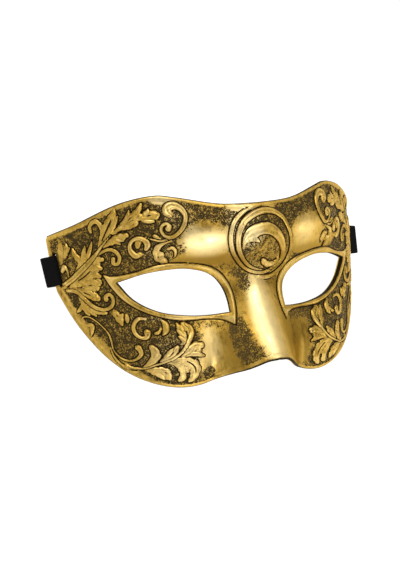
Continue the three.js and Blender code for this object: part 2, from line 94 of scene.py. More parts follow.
# %% Place the camera
SIDE_ANGLE = math.radians(29)
RISE_ANGLE = math.radians(12.2)
CAMERA_DISTANCE = 915
AIM_POINT = np.array([-31.1, 0.0, 0.0])
SENSOR = 36
FOCAL_LENGTH = 115.58

away = np.array([
    -math.sin(SIDE_ANGLE) * math.cos(RISE_ANGLE),
    math.sin(RISE_ANGLE),
    math.cos(SIDE_ANGLE) * math.cos(RISE_ANGLE),
])
rightward = np.array([math.cos(SIDE_ANGLE), 0.0, math.sin(SIDE_ANGLE)])
upward = np.cross(away, rightward)
camera_axes = lay_back([rightward, upward, away])
camera_place = set_down(AIM_POINT + CAMERA_DISTANCE * away) * MM

camera_data = bpy.data.cameras.new("photo_camera")
camera_data.sensor_width = SENSOR
camera_data.lens = FOCAL_LENGTH
camera = bpy.data.objects.new("photo_camera", camera_data)
bpy.context.scene.collection.objects.link(camera)
camera.matrix_world = Matrix.Translation(camera_place) @ Matrix(camera_axes.T.tolist()).to_4x4()
bpy.context.scene.camera = camera
print("camera at", [round(v, 3) for v in camera_place])

# %% [markdown]
# ## The head form
#
# A mould maker bends the wall round a head and then presses the nose, the brow and the
# cheeks forward. We do the same with formulas. The pattern of the mask is drawn flat: the
# first number is the distance along the wall from the middle of the face, the second the
# height. One function carries any point of that flat pattern onto the bent face, so the
# outline, the eyes and every scroll can be drawn as on a sheet of paper.

# %% How the wall bends away from the middle of the face
BEND = 0.0075
BEND_GROWTH = 3.6e-7
FARTHEST = 130
BEND_STEP = 0.05

bend_distance = np.arange(0, FARTHEST, BEND_STEP)
middle = bend_distance + BEND_STEP / 2
bend_angle = BEND * middle + BEND_GROWTH * middle**3
bend_x = np.concatenate([[0], np.cumsum(np.cos(bend_angle))[:-1] * BEND_STEP])
bend_z = -np.concatenate([[0], np.cumsum(np.sin(bend_angle))[:-1] * BEND_STEP])
print("half width of the bent wall:", round(float(bend_x.max()), 1))

# %% How far nose, brow, eye hollow and cheek reach forward
LEAN = -0.115
BOW_DEPTH, BOW_HALF_HEIGHT, BOW_LEVEL = 1.6, 48, 5
NOSE_TOP, NOSE_LENGTH, NOSE_REACH, NOSE_RUN_ON = 12, 36, 15.5, 1.6
BRIDGE_HALF, WING_HALF = 20, 28.5
BROW_REACH, BROW_HALF_WIDTH, BROW_LEVEL, BROW_HALF_HEIGHT = 11, 59, 28.5, 19
HOLLOW_DEPTH, HOLLOW_CENTRE, HOLLOW_SPREAD = 3, (36, -2), (32, 16)
CHEEK_REACH, CHEEK_CENTRE, CHEEK_SPREAD = 6.5, (40, -36), (25, 15)


def mound(a, y, centre, spread):
    """A soft hill, 1 at its centre."""
    return np.exp(-(((a - centre[0]) / spread[0]) ** 2) - ((y - centre[1]) / spread[1]) ** 2)


def feature_reach(a, y):
    """Forward reach of the features at a distance from the middle and a height."""
    down = np.clip((NOSE_TOP - y) / NOSE_LENGTH, 0, NOSE_RUN_ON)
    half = BRIDGE_HALF + (WING_HALF - BRIDGE_HALF) * np.minimum(down, 1)
    across = np.where(a < half, np.cos(np.pi * a / (2 * half)) ** 2, 0)
    nose = NOSE_REACH * down**2 * (1.5 - 0.5 * down) * across
    brow_level = ((y - BROW_LEVEL) / BROW_HALF_HEIGHT) ** 2
    brow = BROW_REACH * np.exp(-((a / BROW_HALF_WIDTH) ** 4) - brow_level)
    lean = LEAN * (y - BOW_LEVEL) - BOW_DEPTH * ((y - BOW_LEVEL) / BOW_HALF_HEIGHT) ** 2
    hollow = HOLLOW_DEPTH * mound(a, y, HOLLOW_CENTRE, HOLLOW_SPREAD)
    cheek = CHEEK_REACH * mound(a, y, CHEEK_CENTRE, CHEEK_SPREAD)
    return lean + nose + brow - hollow + cheek


# %% Carry pattern points onto the face
NORMAL_STEP = 0.05
NOSE_TIP_LEVEL = -30.0


def face_points(s, y):
    """Points of the outer face of the lying mask for pattern points."""
    a = np.abs(s)
    x = np.sign(s) * np.interp(a, bend_distance, bend_x)
    z = np.interp(a, bend_distance, bend_z) + feature_reach(a, y)
    return set_down(np.stack([x, y, z], axis=-1))


def face_normals(s, y):
    """Directions straight out of the face for pattern points."""
    across = face_points(s + NORMAL_STEP, y) - face_points(s - NORMAL_STEP, y)
    along = face_points(s, y + NORMAL_STEP) - face_points(s, y - NORMAL_STEP)
    normal = np.cross(across, along)
    return normal / np.linalg.norm(normal, axis=-1, keepdims=True)


nose_tip = face_points(np.zeros(1), np.full(1, NOSE_TIP_LEVEL))[0]
print("nose tip at", nose_tip.round(1))

# %% [markdown]
# ## Outline, eyes and slots
#
# The edges are smooth lines through a few points, as a pattern cutter would draw them with
# a bent spline. The outline and the eyes go through the same points in the part's source,
# so both shapes agree. The slots are a little smaller here, so that the band fills them.
# Only the right half is written down, and the left half is its mirror image.

# %% Distances along a line
def length_along(line):
    """Distances along a line from its start to each of its points."""
    gaps = np.hypot(*np.diff(line[:, :2], axis=0).T)
    return np.concatenate([[0], np.cumsum(gaps)])


def points_at(line, length, places):
    """Points of a line at the given distances along it."""
    return np.stack([np.interp(places, length, column) for column in line.T], axis=-1)


# %% A smooth line through points
FINE_STEPS = 24


def smooth_line(points, step):
    """Evenly spaced points along a smooth line through the given ones."""
    corners = [np.array(p, float) for p in points]
    corners.insert(0, 2 * corners[0] - corners[1])
    corners.append(2 * corners[-1] - corners[-2])
    fine = [corners[1]]
    for p0, p1, p2, p3 in zip(corners, corners[1:], corners[2:], corners[3:]):
        t1 = math.sqrt(math.dist(p0[:2], p1[:2]))
        t2 = t1 + math.sqrt(math.dist(p1[:2], p2[:2]))
        t3 = t2 + math.sqrt(math.dist(p2[:2], p3[:2]))
        for t in np.linspace(t1, t2, FINE_STEPS + 1)[1:]:
            a1 = (p0 * (t1 - t) + p1 * t) / t1
            a2 = (p1 * (t2 - t) + p2 * (t - t1)) / (t2 - t1)
            a3 = (p2 * (t3 - t) + p3 * (t - t2)) / (t3 - t2)
            b1 = (a1 * (t2 - t) + a2 * t) / t2
            b2 = (a2 * (t3 - t) + a3 * (t - t1)) / (t3 - t1)
            fine.append((b1 * (t2 - t) + b2 * (t - t1)) / (t2 - t1))
    fine = np.array(fine)
    length = length_along(fine)
    count = max(2, round(length[-1] / step))
    return points_at(fine, length, np.linspace(0, length[-1], count + 1))


# %% The edges of the right half
TOP_EDGE = [(0, 40.1), (20, 40.7), (41.5, 44.2), (51, 45), (67, 41.3), (94, 28.4), (112.4, 20.9)]
SIDE_EDGE = [(113.2, 19.6), (111.4, 10.6), (106.9, -6.2)]
BOTTOM_EDGE = [
    (106.2, -7.4), (92.5, -24.3), (75, -40.5), (60, -48.4), (43, -52),
    (28.5, -50), (16, -43.2), (6, -37), (0, -36),
]
EYE_UPPER = [
    (71.2, 0.8), (55, 6), (40, 8.1), (33.5, 7.4), (27.5, 5.7), (22.2, 2.4),
    (18.6, -1.8), (16.9, -5.6), (16.2, -9.6), (16.2, -14.6),
]
EYE_LOWER = [(16.2, -14.6), (24, -15.8), (38, -15.5), (52, -13.1), (63.4, -7.4), (71.2, 0.8)]
SLOT_CENTRE, SLOT_LEAN, SLOT_WIDTH, SLOT_LENGTH = (105.3, 4.6), 0.26, 1.5, 15.6


def mirrored(line):
    """The same line on the other half of the mask, in the other direction."""
    return (line * [-1, 1])[::-1]


def outline_loop(step):
    """The outer edge of the mask as one closed line."""
    half = np.concatenate([smooth_line(part, step) for part in (TOP_EDGE, SIDE_EDGE, BOTTOM_EDGE)])
    return np.concatenate([half, mirrored(half)[1:-1]])


def eye_loop(side, step):
    """The edge of one eye opening as a closed line."""
    loop = np.concatenate([smooth_line(EYE_UPPER, step)[:-1], smooth_line(EYE_LOWER, step)[:-1]])
    return loop if side > 0 else mirrored(loop)


def slot_loop(side, step):
    """The edge of one temple slot as a closed line."""
    half = SLOT_LENGTH / 2
    count = round(SLOT_LENGTH / step)
    along = np.array([math.sin(SLOT_LEAN), math.cos(SLOT_LEAN)])
    across = np.array([math.cos(SLOT_LEAN), -math.sin(SLOT_LEAN)])
    up = np.linspace(-half, half, count + 1)[:, None] * along
    outer_side = SLOT_CENTRE + up + across * SLOT_WIDTH / 2
    inner_side = SLOT_CENTRE + up[::-1] - across * SLOT_WIDTH / 2
    loop = np.concatenate([outer_side, inner_side])
    return loop if side > 0 else mirrored(loop)


EDGE_STEP = 0.6
outline = outline_loop(EDGE_STEP)
eyes = [eye_loop(1, EDGE_STEP), eye_loop(-1, EDGE_STEP)]
slots = [slot_loop(1, EDGE_STEP), slot_loop(-1, EDGE_STEP)]
edge_loops = [outline, *eyes, *slots]
print("points along the edges:", sum(len(loop) for loop in edge_loops))

# %% Inside, and distance to a line
CLOSE_STEP = 0.06


def inside_loop(loop, points):
    """True for the points that lie inside a closed line."""
    inside = np.zeros(len(points), bool)
    s, y = points.T
    for (ax, ay), (bx, by) in zip(loop, np.roll(loop, -1, axis=0)):
        if ay == by:
            continue
        crosses = (ay > y) != (by > y)
        inside ^= crosses & (s < (bx - ax) * (y - ay) / (by - ay) + ax)
    return inside


def in_material(points):
    """True for the points inside the outline and outside the eyes and slots."""
    inside = inside_loop(outline, points)
    for hole in edge_loops[1:]:
        inside &= ~inside_loop(hole, points)
    return inside


def distance_finder(loop):
    """A function that gives the distances from points to a closed line."""
    closed = np.concatenate([loop, loop[:1]])
    length = length_along(closed)
    dense = points_at(closed, length, np.arange(0, length[-1], CLOSE_STEP))
    tree = kdtree.KDTree(len(dense))
    for i, (s, y) in enumerate(dense):
        tree.insert((s, y, 0), i)
    tree.balance()
    return lambda points: np.array([tree.find((s, y, 0))[2] for s, y in points])


outline_distance = distance_finder(outline)
slot_distances = [distance_finder(slot) for slot in slots]

# %% [markdown]
# ## The scrolls, stroke by stroke
#
# The relief is a common acanthus scroll: stems, curls and leaves that grow out of the
# temple, and a roundel of crossing crescents on the forehead. A carver cuts it stroke by
# stroke, and so do we. A stroke is a row of points, each with its own width. There are
# three kinds: a round stem, a fluted curl with a groove along it, and a leaf lobe with a
# vein. Later strokes lie over earlier ones, so the list runs from the back to the front.

# %% Strokes of the right half
LEAF, FLUTED, STEM = "leaf", "fluted", "stem"
SIDE_STROKES = [
    # body behind the flame
    (LEAF, [(98, -0.6, 1.4), (94, 3, 2.8), (90.8, 7.4, 4.2), (89.2, 11, 4.8), (88.2, 14.5, 2.5)]),
    # flame
    (LEAF, [(90.4, 8, 2), (88.6, 12.4, 3.6), (88, 16, 2.4), (87.3, 18.8, 0.4)]),
    (LEAF, [(89.6, 9.2, 2), (91.9, 11.8, 3.6), (93.9, 14.6, 2.8), (94.9, 17.3, 0.4)]),
    (LEAF, [(100.4, 11.2, 0.8), (99.1, 13.4, 3), (98.3, 16, 3.2), (98.5, 19.2, 0.4)]),
    (LEAF, [(99.2, 13.6, 1.5), (97.4, 15.8, 1.8), (96.2, 17.2, 0.4)]),
    (LEAF, [(86.6, 12, 2), (85.2, 15.8, 2.2), (84, 19.2, 1.4), (83.4, 21.6, 0.4)]),
    # outer volute
    (FLUTED, [(80.7, 15.2, 1), (79.4, 19.7, 1.7), (78.1, 24.2, 2), (78.2, 28.7, 2.3),
        (80.6, 31.3, 2.4), (83.4, 29.6, 2), (84.2, 27.3, 1.9), (83.6, 25.8, 1.5)]),
    # tall leaf
    (LEAF, [(80.4, 16.5, 1.1), (78, 21.7, 4.1), (74.9, 28.2, 6.1), (72.1, 34, 4.1),
        (70.6, 38.2, 0.4)]),
    (LEAF, [(77.1, 20.2, 1.3), (74.6, 25.1, 2.6), (71.8, 30, 2.6), (69.6, 34.6, 0.6)]),
    # top leaf
    (LEAF, [(72.1, 25.5, 0.8), (67.9, 29.8, 3.2), (64.2, 33.2, 4.1), (60.3, 37, 3.2),
        (58.2, 40.6, 1.4)]),
    (LEAF, [(68.4, 29.8, 1.4), (65.8, 33.2, 2.2), (64, 37.6, 0.6)]),
    # side leaf
    (LEAF, [(73.1, 25.1, 0.6), (69.5, 28.2, 2.2), (65.6, 29.5, 3.5), (62.3, 31.1, 3.2),
        (61.2, 31.6, 1.9)]),
    (LEAF, [(66, 29, 1.3), (63.8, 31, 1.9), (62.2, 32.3, 1)]),
    # trefoil
    (LEAF, [(62.1, 32.6, 0.8), (58.6, 34.3, 3.5), (55.1, 35.2, 6.1), (51.6, 35.8, 3.5)]),
    (LEAF, [(57.4, 35.3, 2.2), (55.7, 37.2, 1.9), (55.2, 38.9, 0.3)]),
    (LEAF, [(58.2, 32.8, 1.6), (56, 32.4, 2.2), (53.7, 32.6, 1.4)]),
    # low leaf
    (LEAF, [(79.6, 17.5, 0.6), (75.2, 20.3, 2.4), (70.7, 23, 4.8), (66.5, 25.1, 2.9)]),
    (LEAF, [(72.9, 21.7, 1.9), (70.8, 21.1, 1.6), (69.2, 20.6, 0.8)]),
    (LEAF, [(71.3, 23, 1.9), (69.2, 22.5, 1.6), (67.8, 22.2, 0.8)]),
    # inner volute
    (FLUTED, [(83.6, 11.5, 0.8), (79, 15.7, 1.5), (74.7, 17.6, 1.8), (71.3, 16.4, 2),
        (69.7, 13.4, 1.9), (71.1, 10.3, 1.8), (72.9, 10.7, 1.9), (72.9, 13, 2.1)]),
    # bodies behind the serrated leaf
    (LEAF, [(96.5, -3, 3), (90, -2.2, 6.5), (84.5, -0.8, 8), (81.6, 0.6, 5)]),
    (LEAF, [(96, -1, 4), (90, 2, 8.5), (85.2, 6, 9), (81.9, 10.6, 5), (80.6, 13, 2)]),
    # serrated leaf
    (LEAF, [(84, 10.6, 2.2), (81, 12.2, 3.2), (78.6, 12.4, 2.6)]),
    (LEAF, [(84.4, 7.2, 2.4), (81.6, 8.2, 3.2), (79.6, 7.8, 2.6)]),
    (LEAF, [(85, 4, 2.4), (82, 4.4, 3), (80.4, 3.8, 2.4)]),
    (LEAF, [(86, 0.8, 2.4), (82.8, 0.6, 3.2), (80.9, -0.2, 2.4)]),
    (LEAF, [(89, -2.2, 2), (85.4, -2.6, 2.6), (83.2, -3.2, 1.6)]),
    (LEAF, [(96, -3.8, 2), (88.8, -5, 4.2), (84.4, -6.4, 5), (82, -7.4, 3.6)]),
    # main stem
    (FLUTED, [(101.6, -2.8, 2.9), (94.4, 2.2, 2.9), (87.7, 8.3, 2.7), (83.2, 13, 2.2),
        (79.8, 17.2, 1.4), (77, 20.8, 0.8), (73.4, 25, 0.4)]),
    # teardrop
    (STEM, [(98.2, 2.2, 0.8), (98.7, 5.3, 1.4), (100.6, 6.6, 2.9), (102.1, 4.5, 2.4)]),
    # body behind the low fan
    (LEAF, [(92, -7.5, 2), (88.4, -10.6, 5.6), (84.5, -12.8, 5), (80, -13.6, 3)]),
    # low fan
    (LEAF, [(90.5, -8.5, 2), (90.2, -11, 3), (91.8, -13.4, 2.6), (93.8, -15.2, 1.2)]),
    (LEAF, [(90.6, -9, 2.6), (89.7, -12.1, 3.5), (87.8, -15.2, 2.6), (87.1, -16.4, 0.8)]),
    (LEAF, [(89.2, -9.5, 2.6), (86.9, -13.2, 3.8), (83.9, -15.5, 2.2), (83.3, -16.6, 0.8)]),
    (LEAF, [(87.4, -10, 2.2), (83.8, -13.3, 3.5), (80, -14.3, 2.9), (77.9, -14.5, 1.6)]),
    # side curl
    (FLUTED, [(99.6, -4.9, 1.6), (93.7, -5.1, 2.1), (89.5, -7.9, 1.9), (85.4, -11.1, 1.8),
        (81.3, -12.7, 1.8), (77.2, -12.5, 1.9), (74.3, -10.2, 2), (73.9, -7, 1.8),
        (75.7, -5.1, 1.8), (77.6, -6.3, 2.2), (77.5, -7.6, 2.7)]),
    # edge flame
    (LEAF, [(89.6, -21.2, 1.6), (86.2, -21.5, 2.9), (86.2, -24.8, 1.9), (87, -27.4, 0.4)]),
    # thin stem
    (STEM, [(91, -19.9, 1.1), (91.1, -17.9, 1), (88.4, -17.1, 0.8), (84.3, -18.6, 0.8),
        (80.4, -21.6, 0.8), (77.6, -24.9, 0.9), (76.2, -28.7, 1.1), (75.6, -32.4, 0.8),
        (73.6, -35.4, 0.9), (70.5, -37.5, 1.1), (67.2, -37.9, 1.2), (64.2, -36.6, 1.5),
        (62.3, -34.1, 2.2), (62.9, -31.9, 2.7), (63.5, -31.1, 3.2)]),
    # comma
    (STEM, [(61.7, -41.3, 1.1), (58.3, -38.6, 2.9), (55.9, -35.4, 4.3), (56, -32.5, 4.1),
        (57.1, -30.7, 3.1)]),
    (LEAF, [(57.4, -37.4, 1.9), (54.7, -35.6, 2.2), (53.3, -34, 0.6)]),
    # small leaf
    (LEAF, [(53.6, -38.2, 0.6), (50.9, -35.9, 3.2), (48, -33.4, 4.4), (45.2, -30.4, 2.1)]),
    (LEAF, [(51.2, -35.2, 1.6), (49.3, -33, 2.2), (47.4, -31, 0.8)]),
    # body behind the upright leaf
    (LEAF, [(40.4, -30, 2.2), (39.6, -26.5, 5.2), (39.2, -23, 6.4), (39.6, -20.6, 4.6)]),
    # upright leaf
    (LEAF, [(41.3, -28.6, 1.6), (41.5, -25, 3.6), (42.2, -21.9, 3.6), (43.2, -19.4, 1.4)]),
    (LEAF, [(41.2, -25.8, 2.2), (42.6, -23.7, 2), (43.8, -22.3, 0.8)]),
    (LEAF, [(41.1, -27.9, 2.2), (42.3, -26.4, 1.9), (43.7, -25.3, 0.8)]),
    # body behind the inner leaf
    (LEAF, [(43.7, -35.2, 0.8), (39.5, -33.2, 3.6), (35.5, -32.2, 4.4), (34, -32, 2)]),
    # inner leaf
    (LEAF, [(43.7, -34.9, 0.6), (39.9, -32.2, 2.9), (35.9, -29.9, 4.1), (32.9, -29.9, 3.2)]),
    (LEAF, [(43.7, -35.4, 0.5), (39.5, -34.1, 1.8), (35.5, -34.1, 2.7), (32.1, -35, 1.1)]),
    # body behind the curled leaf
    (LEAF, [(48.5, -37.3, 1.2), (44.6, -38, 3.2), (41.6, -39.8, 4), (40.4, -42.6, 2)]),
    # curled leaf
    (LEAF, [(49.5, -37.1, 0.8), (44.7, -36.4, 2.2), (39.9, -37.9, 5), (37, -40.6, 6.6),
        (36.4, -43.8, 5.4), (37.3, -46.4, 4), (38.7, -48.2, 1.8)]),
    # hooked leaf
    (LEAF, [(49.8, -38, 0.6), (46.5, -38.9, 2), (43.8, -41.2, 3.4), (42.6, -43.8, 3.4),
        (42.5, -46.2, 4), (43.8, -47.4, 2.2)]),
    # body behind the low outer leaf
    (LEAF, [(60, -42, 1), (56, -42.8, 4.5), (52, -44, 6), (49.8, -46, 3)]),
    # low outer leaf
    (LEAF, [(60.2, -42.2, 0.8), (56.7, -42, 2.9), (52.9, -42.2, 3.8), (49.9, -43.8, 4),
        (48.6, -46.6, 2.2)]),
    (LEAF, [(55.4, -43.4, 2.6), (52.9, -45.2, 2.6), (51.2, -47, 1)]),
    # lower stem
    (STEM, [(76.9, -32, 0.7), (75.5, -35.8, 1), (73, -39, 1.1), (69.4, -41.4, 1.3),
        (65.1, -42.1, 1.3)]),
    # branch
    (STEM, [(69.5, -40.4, 1.2), (64.7, -41.6, 1.1), (60.5, -41.4, 1), (56.2, -39.7, 1),
        (51.9, -38, 1.1), (47.4, -35.8, 1.2), (43.9, -33.3, 1.4), (40.8, -30, 1.6),
        (38.2, -26.8, 2.2), (36.4, -23.6, 2.6), (36.8, -21.2, 2.3), (38.6, -19.9, 1.3)]),
    # heart
    (LEAF, [(73.8, -14, 2.4), (71.9, -16, 4.6), (70.7, -18.2, 3.8), (70.3, -20, 1.6)]),
    (LEAF, [(71.2, -17, 2.6), (69.9, -15.4, 2.2), (69.3, -14.5, 0.6)]),
    # bud
    (LEAF, [(67.7, -15.4, 1.6), (67.4, -17, 2.6), (67.4, -18.5, 1.6)]),
    # low c
    (STEM, [(58.3, -16.9, 1), (61.5, -16.9, 2), (63.9, -18.9, 2.1), (64.8, -21.8, 2.2),
        (63.7, -24.7, 2.1), (61.2, -26.2, 1.9), (58.7, -25.6, 2.4), (58.3, -23.5, 3.5)]),
    # fragment
    (STEM, [(50.6, -17.4, 0.8), (48.8, -19.7, 3.2), (49.2, -22.4, 3.1), (51.2, -24.8, 0.6)]),
    (LEAF, [(51.4, -21.6, 0.8), (53, -23.4, 1.8), (54.5, -23.9, 1.4)]),
    # comma leaf
    (LEAF, [(46.3, 23.4, 0.4), (49.6, 21.7, 1.6), (52.1, 19.6, 3.1), (52.4, 16.6, 4),
        (50.4, 13.8, 5), (47.4, 12.2, 2.2)]),
    (LEAF, [(51.4, 16.4, 2.2), (49.8, 16.4, 1.6), (49, 15.4, 0.8)]),
    # small hook
    (STEM, [(47.1, 18.9, 1.3), (45.6, 19.6, 1.7), (43.9, 17.9, 1.7), (43.6, 15.3, 1.1),
        (44.1, 14.3, 0.5)]),
    # petal
    (LEAF, [(60.5, 23.6, 2.2), (61.1, 21.3, 3.5), (61.3, 19.3, 1.6)]),
    # comma scroll
    (STEM, [(60.1, 15.7, 2.2), (61.8, 14.9, 3.1), (64.1, 16.8, 2.7), (64.9, 19.8, 1.9),
        (63.4, 22.8, 1.8), (60.5, 24, 2.1), (57.8, 22.7, 2.7), (56.7, 20.5, 2.9), (57.4, 18.6, 2)]),
    # leaflet
    (LEAF, [(50.8, 23.9, 0.4), (52.5, 24.7, 1.6), (53.7, 25.4, 1.9), (54.4, 25.7, 0.4)]),
    # tail
    (STEM, [(57.5, 24.6, 0.3), (54.2, 23.4, 0.9), (50.8, 22.9, 1.1), (47.2, 24.2, 1.3)]),
    # c scroll
    (FLUTED, [(46.3, 36.4, 3.4), (47, 37.2, 4.1), (46.8, 38.6, 4), (45.2, 39.9, 3.9),
        (42.6, 40.1, 3.7), (40.2, 38.6, 3.1), (38.9, 35.6, 2.3), (39.8, 31.9, 2.1),
        (42.3, 27.9, 2), (46, 25, 1.9), (48.9, 25.4, 1.5), (50.6, 27.8, 1.5), (50.3, 30.3, 1.5),
        (48.2, 31.6, 1.6), (46.8, 30.4, 1.9), (47.5, 29.1, 2.9)]),
]

# %% Strokes of the roundel, drawn once about the middle of the face
ROUNDEL_STROKES = [
    # first ring
    (FLUTED, [(-2.8, 38, 0.6), (-9.7, 35.7, 1.9), (-15.2, 31.4, 2.2), (-17.4, 24.9, 2.4),
        (-15.5, 17.6, 2.2), (-11.2, 11.3, 2), (-5.9, 6.3, 1.9), (-0.9, 4.1, 1.9), (4.6, 3.5, 1.8),
        (10.5, 5.2, 1.5), (14.6, 8.5, 1), (15.5, 12.6, 0.5)]),
    # second ring
    (FLUTED, [(1.2, 1.8, 1), (5.2, 0.8, 2.1), (11.6, 1.8, 2.2), (17.8, 6.2, 1.9), (20, 12, 1.8),
        (19.2, 18.6, 1.8), (16.2, 26.1, 1.9), (12.3, 32.2, 2.2), (7.6, 35.1, 2.7),
        (2.4, 35.8, 3.1), (-3.9, 34.5, 3.2), (-10, 31, 3.2), (-13, 25.9, 3.1), (-12.6, 19.5, 2.7),
        (-9.2, 12.9, 2.2), (-3.9, 7.5, 1.7), (1.4, 5.2, 1), (4.6, 4.8, 0.4)]),
    # teeth of the crescent
    (LEAF, [(6.8, 27.8, 2), (4.4, 29.6, 1.2), (2.6, 30.5, 0.4)]),
    (LEAF, [(3, 28.6, 2), (0.6, 29.9, 1.2), (-1.2, 30.4, 0.4)]),
    (LEAF, [(-0.6, 28.2, 2), (-3, 29.2, 1.2), (-4.8, 29.4, 0.4)]),
    # body behind the hook
    (LEAF, [(-9.4, 19.6, 1), (-8, 22, 3.4), (-5.6, 23.4, 4.2), (-3, 24, 2.6)]),
    # crescent
    (STEM, [(-9.3, 17.4, 0.5), (-9.3, 21.2, 2.8), (-6.4, 25, 6.3), (-0.7, 27.1, 6.2),
        (5, 26.6, 5.9), (9.9, 23.1, 4.8), (13.3, 18.6, 3.8), (15.3, 13.4, 2.9), (15, 8.8, 2.2),
        (12.1, 6, 1.9), (8.4, 4.8, 0.8)]),
    # hook
    (LEAF, [(-8.6, 21.4, 2.2), (-5.6, 22.5, 3.6), (-3, 21.7, 2.6), (-0.5, 20.1, 0.5)]),
    # horn
    (LEAF, [(12.9, 11.9, 0.5), (12.7, 9.1, 1.9), (9.7, 7.4, 3.1), (5.5, 7.9, 3.8), (3.3, 10.2, 2.9)]),
]
print("strokes:", len(SIDE_STROKES), "on each half and", len(ROUNDEL_STROKES), "in the roundel")

# %% [markdown]
# ## Painting the relief
#
# The wall is treated as a canvas of pattern points. Every point carries a height above
# the wall, a mark, and shares of clean gold, of painted shade laid as a thin glaze, and of
# painted highlight in pale gold. A stroke finds its nearest place to each point, gives it
# the height of its section there and wipes it clean to gold. The mark is 1 on the stroke's
# outline, falls to 0 outside and goes below 0 inside. Wax that is rubbed into a real
# moulding stays in the creases, so the material later turns high marks into a dark line.
# Marks just below 0 become a pale edge, a painted highlight along the inside of each
# outline. A wide leaf and a curl also get a high mark along their middle, for a fine dark
# vein.

# %% A soft step
def ramp(low, high, value):
    """Rises smoothly from 0 at low to 1 at high."""
    t = np.clip((value - low) / (high - low), 0, 1)
    return t * t * (3 - 2 * t)


# %% The nearest place on a stroke
def nearest_place(path, s, y):
    """Clearance, distance, half width and share along of a stroke's nearest place."""
    best = np.full(len(s), np.inf)
    distance, half, share = np.zeros(len(s)), np.ones(len(s)), np.zeros(len(s))
    last = len(path) - 1
    for i in range(last):
        (as_, ay, aw), (bs, by, bw) = path[i], path[i + 1]
        ds, dy = bs - as_, by - ay
        t = np.clip(((s - as_) * ds + (y - ay) * dy) / (ds * ds + dy * dy), 0, 1)
        d = np.hypot(s - as_ - t * ds, y - ay - t * dy)
        w = (aw + (bw - aw) * t) / 2
        closer = d - w < best
        best = np.where(closer, d - w, best)
        distance = np.where(closer, d, distance)
        half = np.where(closer, w, half)
        share = np.where(closer, (i + t) / last, share)
    return best, distance, half, share


# %% Sections of the three kinds of stroke
SCROLL_HEIGHT = 1.15
THIN_HEIGHT = 0.45
HEIGHT_PER_HALF_WIDTH = 0.5
GROOVE_DEPTH, GROOVE_HALF = 0.42, 0.26
VEIN_DEPTH, VEIN_HALF = 0.28, 0.28
RIB_DEPTH = 0.08
LOBE_GAP, LOBE_DEPTH, LOBE_SHARPNESS = 2.9, 0.26, 1.5
LEAF_EDGE_SHARE, LEAF_FULLNESS = 0.25, 2.6
# Each pair below is where something starts to show and where it is full.
GROOVE_WIDE, VEIN_WIDE, RIB_WIDE, LOBE_WIDE = (0.3, 0.8), (0.7, 1.6), (0.8, 1.6), (0.9, 1.5)
VEIN_START, VEIN_END, LOBE_START = (0.02, 0.2), (0.98, 0.7), (0, 0.2)
RIB_FROM_MIDDLE, LEAF_FROM_EDGE = (0, 0.4), (1.02, 0.9)


def section_height(kind, distance, half, share, length):
    """Height of a stroke's section above the wall."""
    q = np.clip(distance / half, 0, 1)
    crown = np.minimum(SCROLL_HEIGHT, THIN_HEIGHT + HEIGHT_PER_HALF_WIDTH * half)
    if kind == STEM:
        return crown * np.sqrt(1 - q**2)
    if kind == FLUTED:
        groove = GROOVE_DEPTH * np.exp(-((q / GROOVE_HALF) ** 2)) * ramp(*GROOVE_WIDE, half)
        return crown * (np.sqrt(1 - q**3) - groove)
    vein = VEIN_DEPTH * np.exp(-((distance / VEIN_HALF) ** 2))
    vein = vein * ramp(*VEIN_START, share) * ramp(*VEIN_END, share) * ramp(*VEIN_WIDE, half)
    ribs = np.cos(2 * np.pi * (share * length + half - distance) / LOBE_GAP)
    ribs = RIB_DEPTH * ribs * ramp(*RIB_WIDE, half) * ramp(*RIB_FROM_MIDDLE, q)
    swell = LEAF_EDGE_SHARE + (1 - LEAF_EDGE_SHARE) * (1 - q**LEAF_FULLNESS)
    return crown * swell * ramp(*LEAF_FROM_EDGE, q) - ribs - vein


def leaf_notches(share, half, length):
    """How far the lobed edge of a leaf is cut in."""
    lobes = np.abs(np.sin(np.pi * share * length / LOBE_GAP))
    depth = LOBE_DEPTH * half * (1 - lobes) ** LOBE_SHARPNESS
    return depth * ramp(*LOBE_WIDE, half) * ramp(*LOBE_START, share)


# %% The marks for the dark lines
LINE_REACH, LINE_INNER = 1.0, 0.3
LOWEST_MARK = -2.5
MIDDLE_REACH = 0.7
# Strength, half width, start and end of the line along the middle.
MIDDLE_LINE = {
    LEAF: (1, (1.7, 2.1), (0.06, 0.25), (0.9, 0.7)),
    FLUTED: (0.82, (0.75, 1), (0.03, 0.1), (0.97, 0.85)),
}


def outline_mark(clearance):
    """1 on an outline, 0 a little outside it and below 0 inside."""
    outside = np.clip(1 - clearance / LINE_REACH, 0, 1)
    return np.where(clearance > 0, outside, np.maximum(1 + clearance / LINE_INNER, LOWEST_MARK))


def middle_mark(kind, distance, half, share):
    """High on the middle line of a wide leaf or a curl, and falling away beside it."""
    most, wide, start, end = MIDDLE_LINE[kind]
    there = most * ramp(*wide, half) * ramp(*start, share) * ramp(*end, share)
    return np.maximum(2 * there - 1 - distance / MIDDLE_REACH, LOWEST_MARK)


# %% Paint one stroke on the canvas
STROKE_STEP = 0.5
NARROWEST = 0.35
SOFT_EDGE = 0.14
LINE_SINK = 0.14
KEEP_BELOW = 0.6
# Lines are weaker on top of other strokes, and fade out at the root of a stroke.
CREASE_CUT = {LEAF: 0.38, FLUTED: 0.15, STEM: 0.25}
ON_TOP = (0.2, 0.6)
ROOT_FADE = {LEAF: 0.28, FLUTED: 0.05, STEM: 0.05}


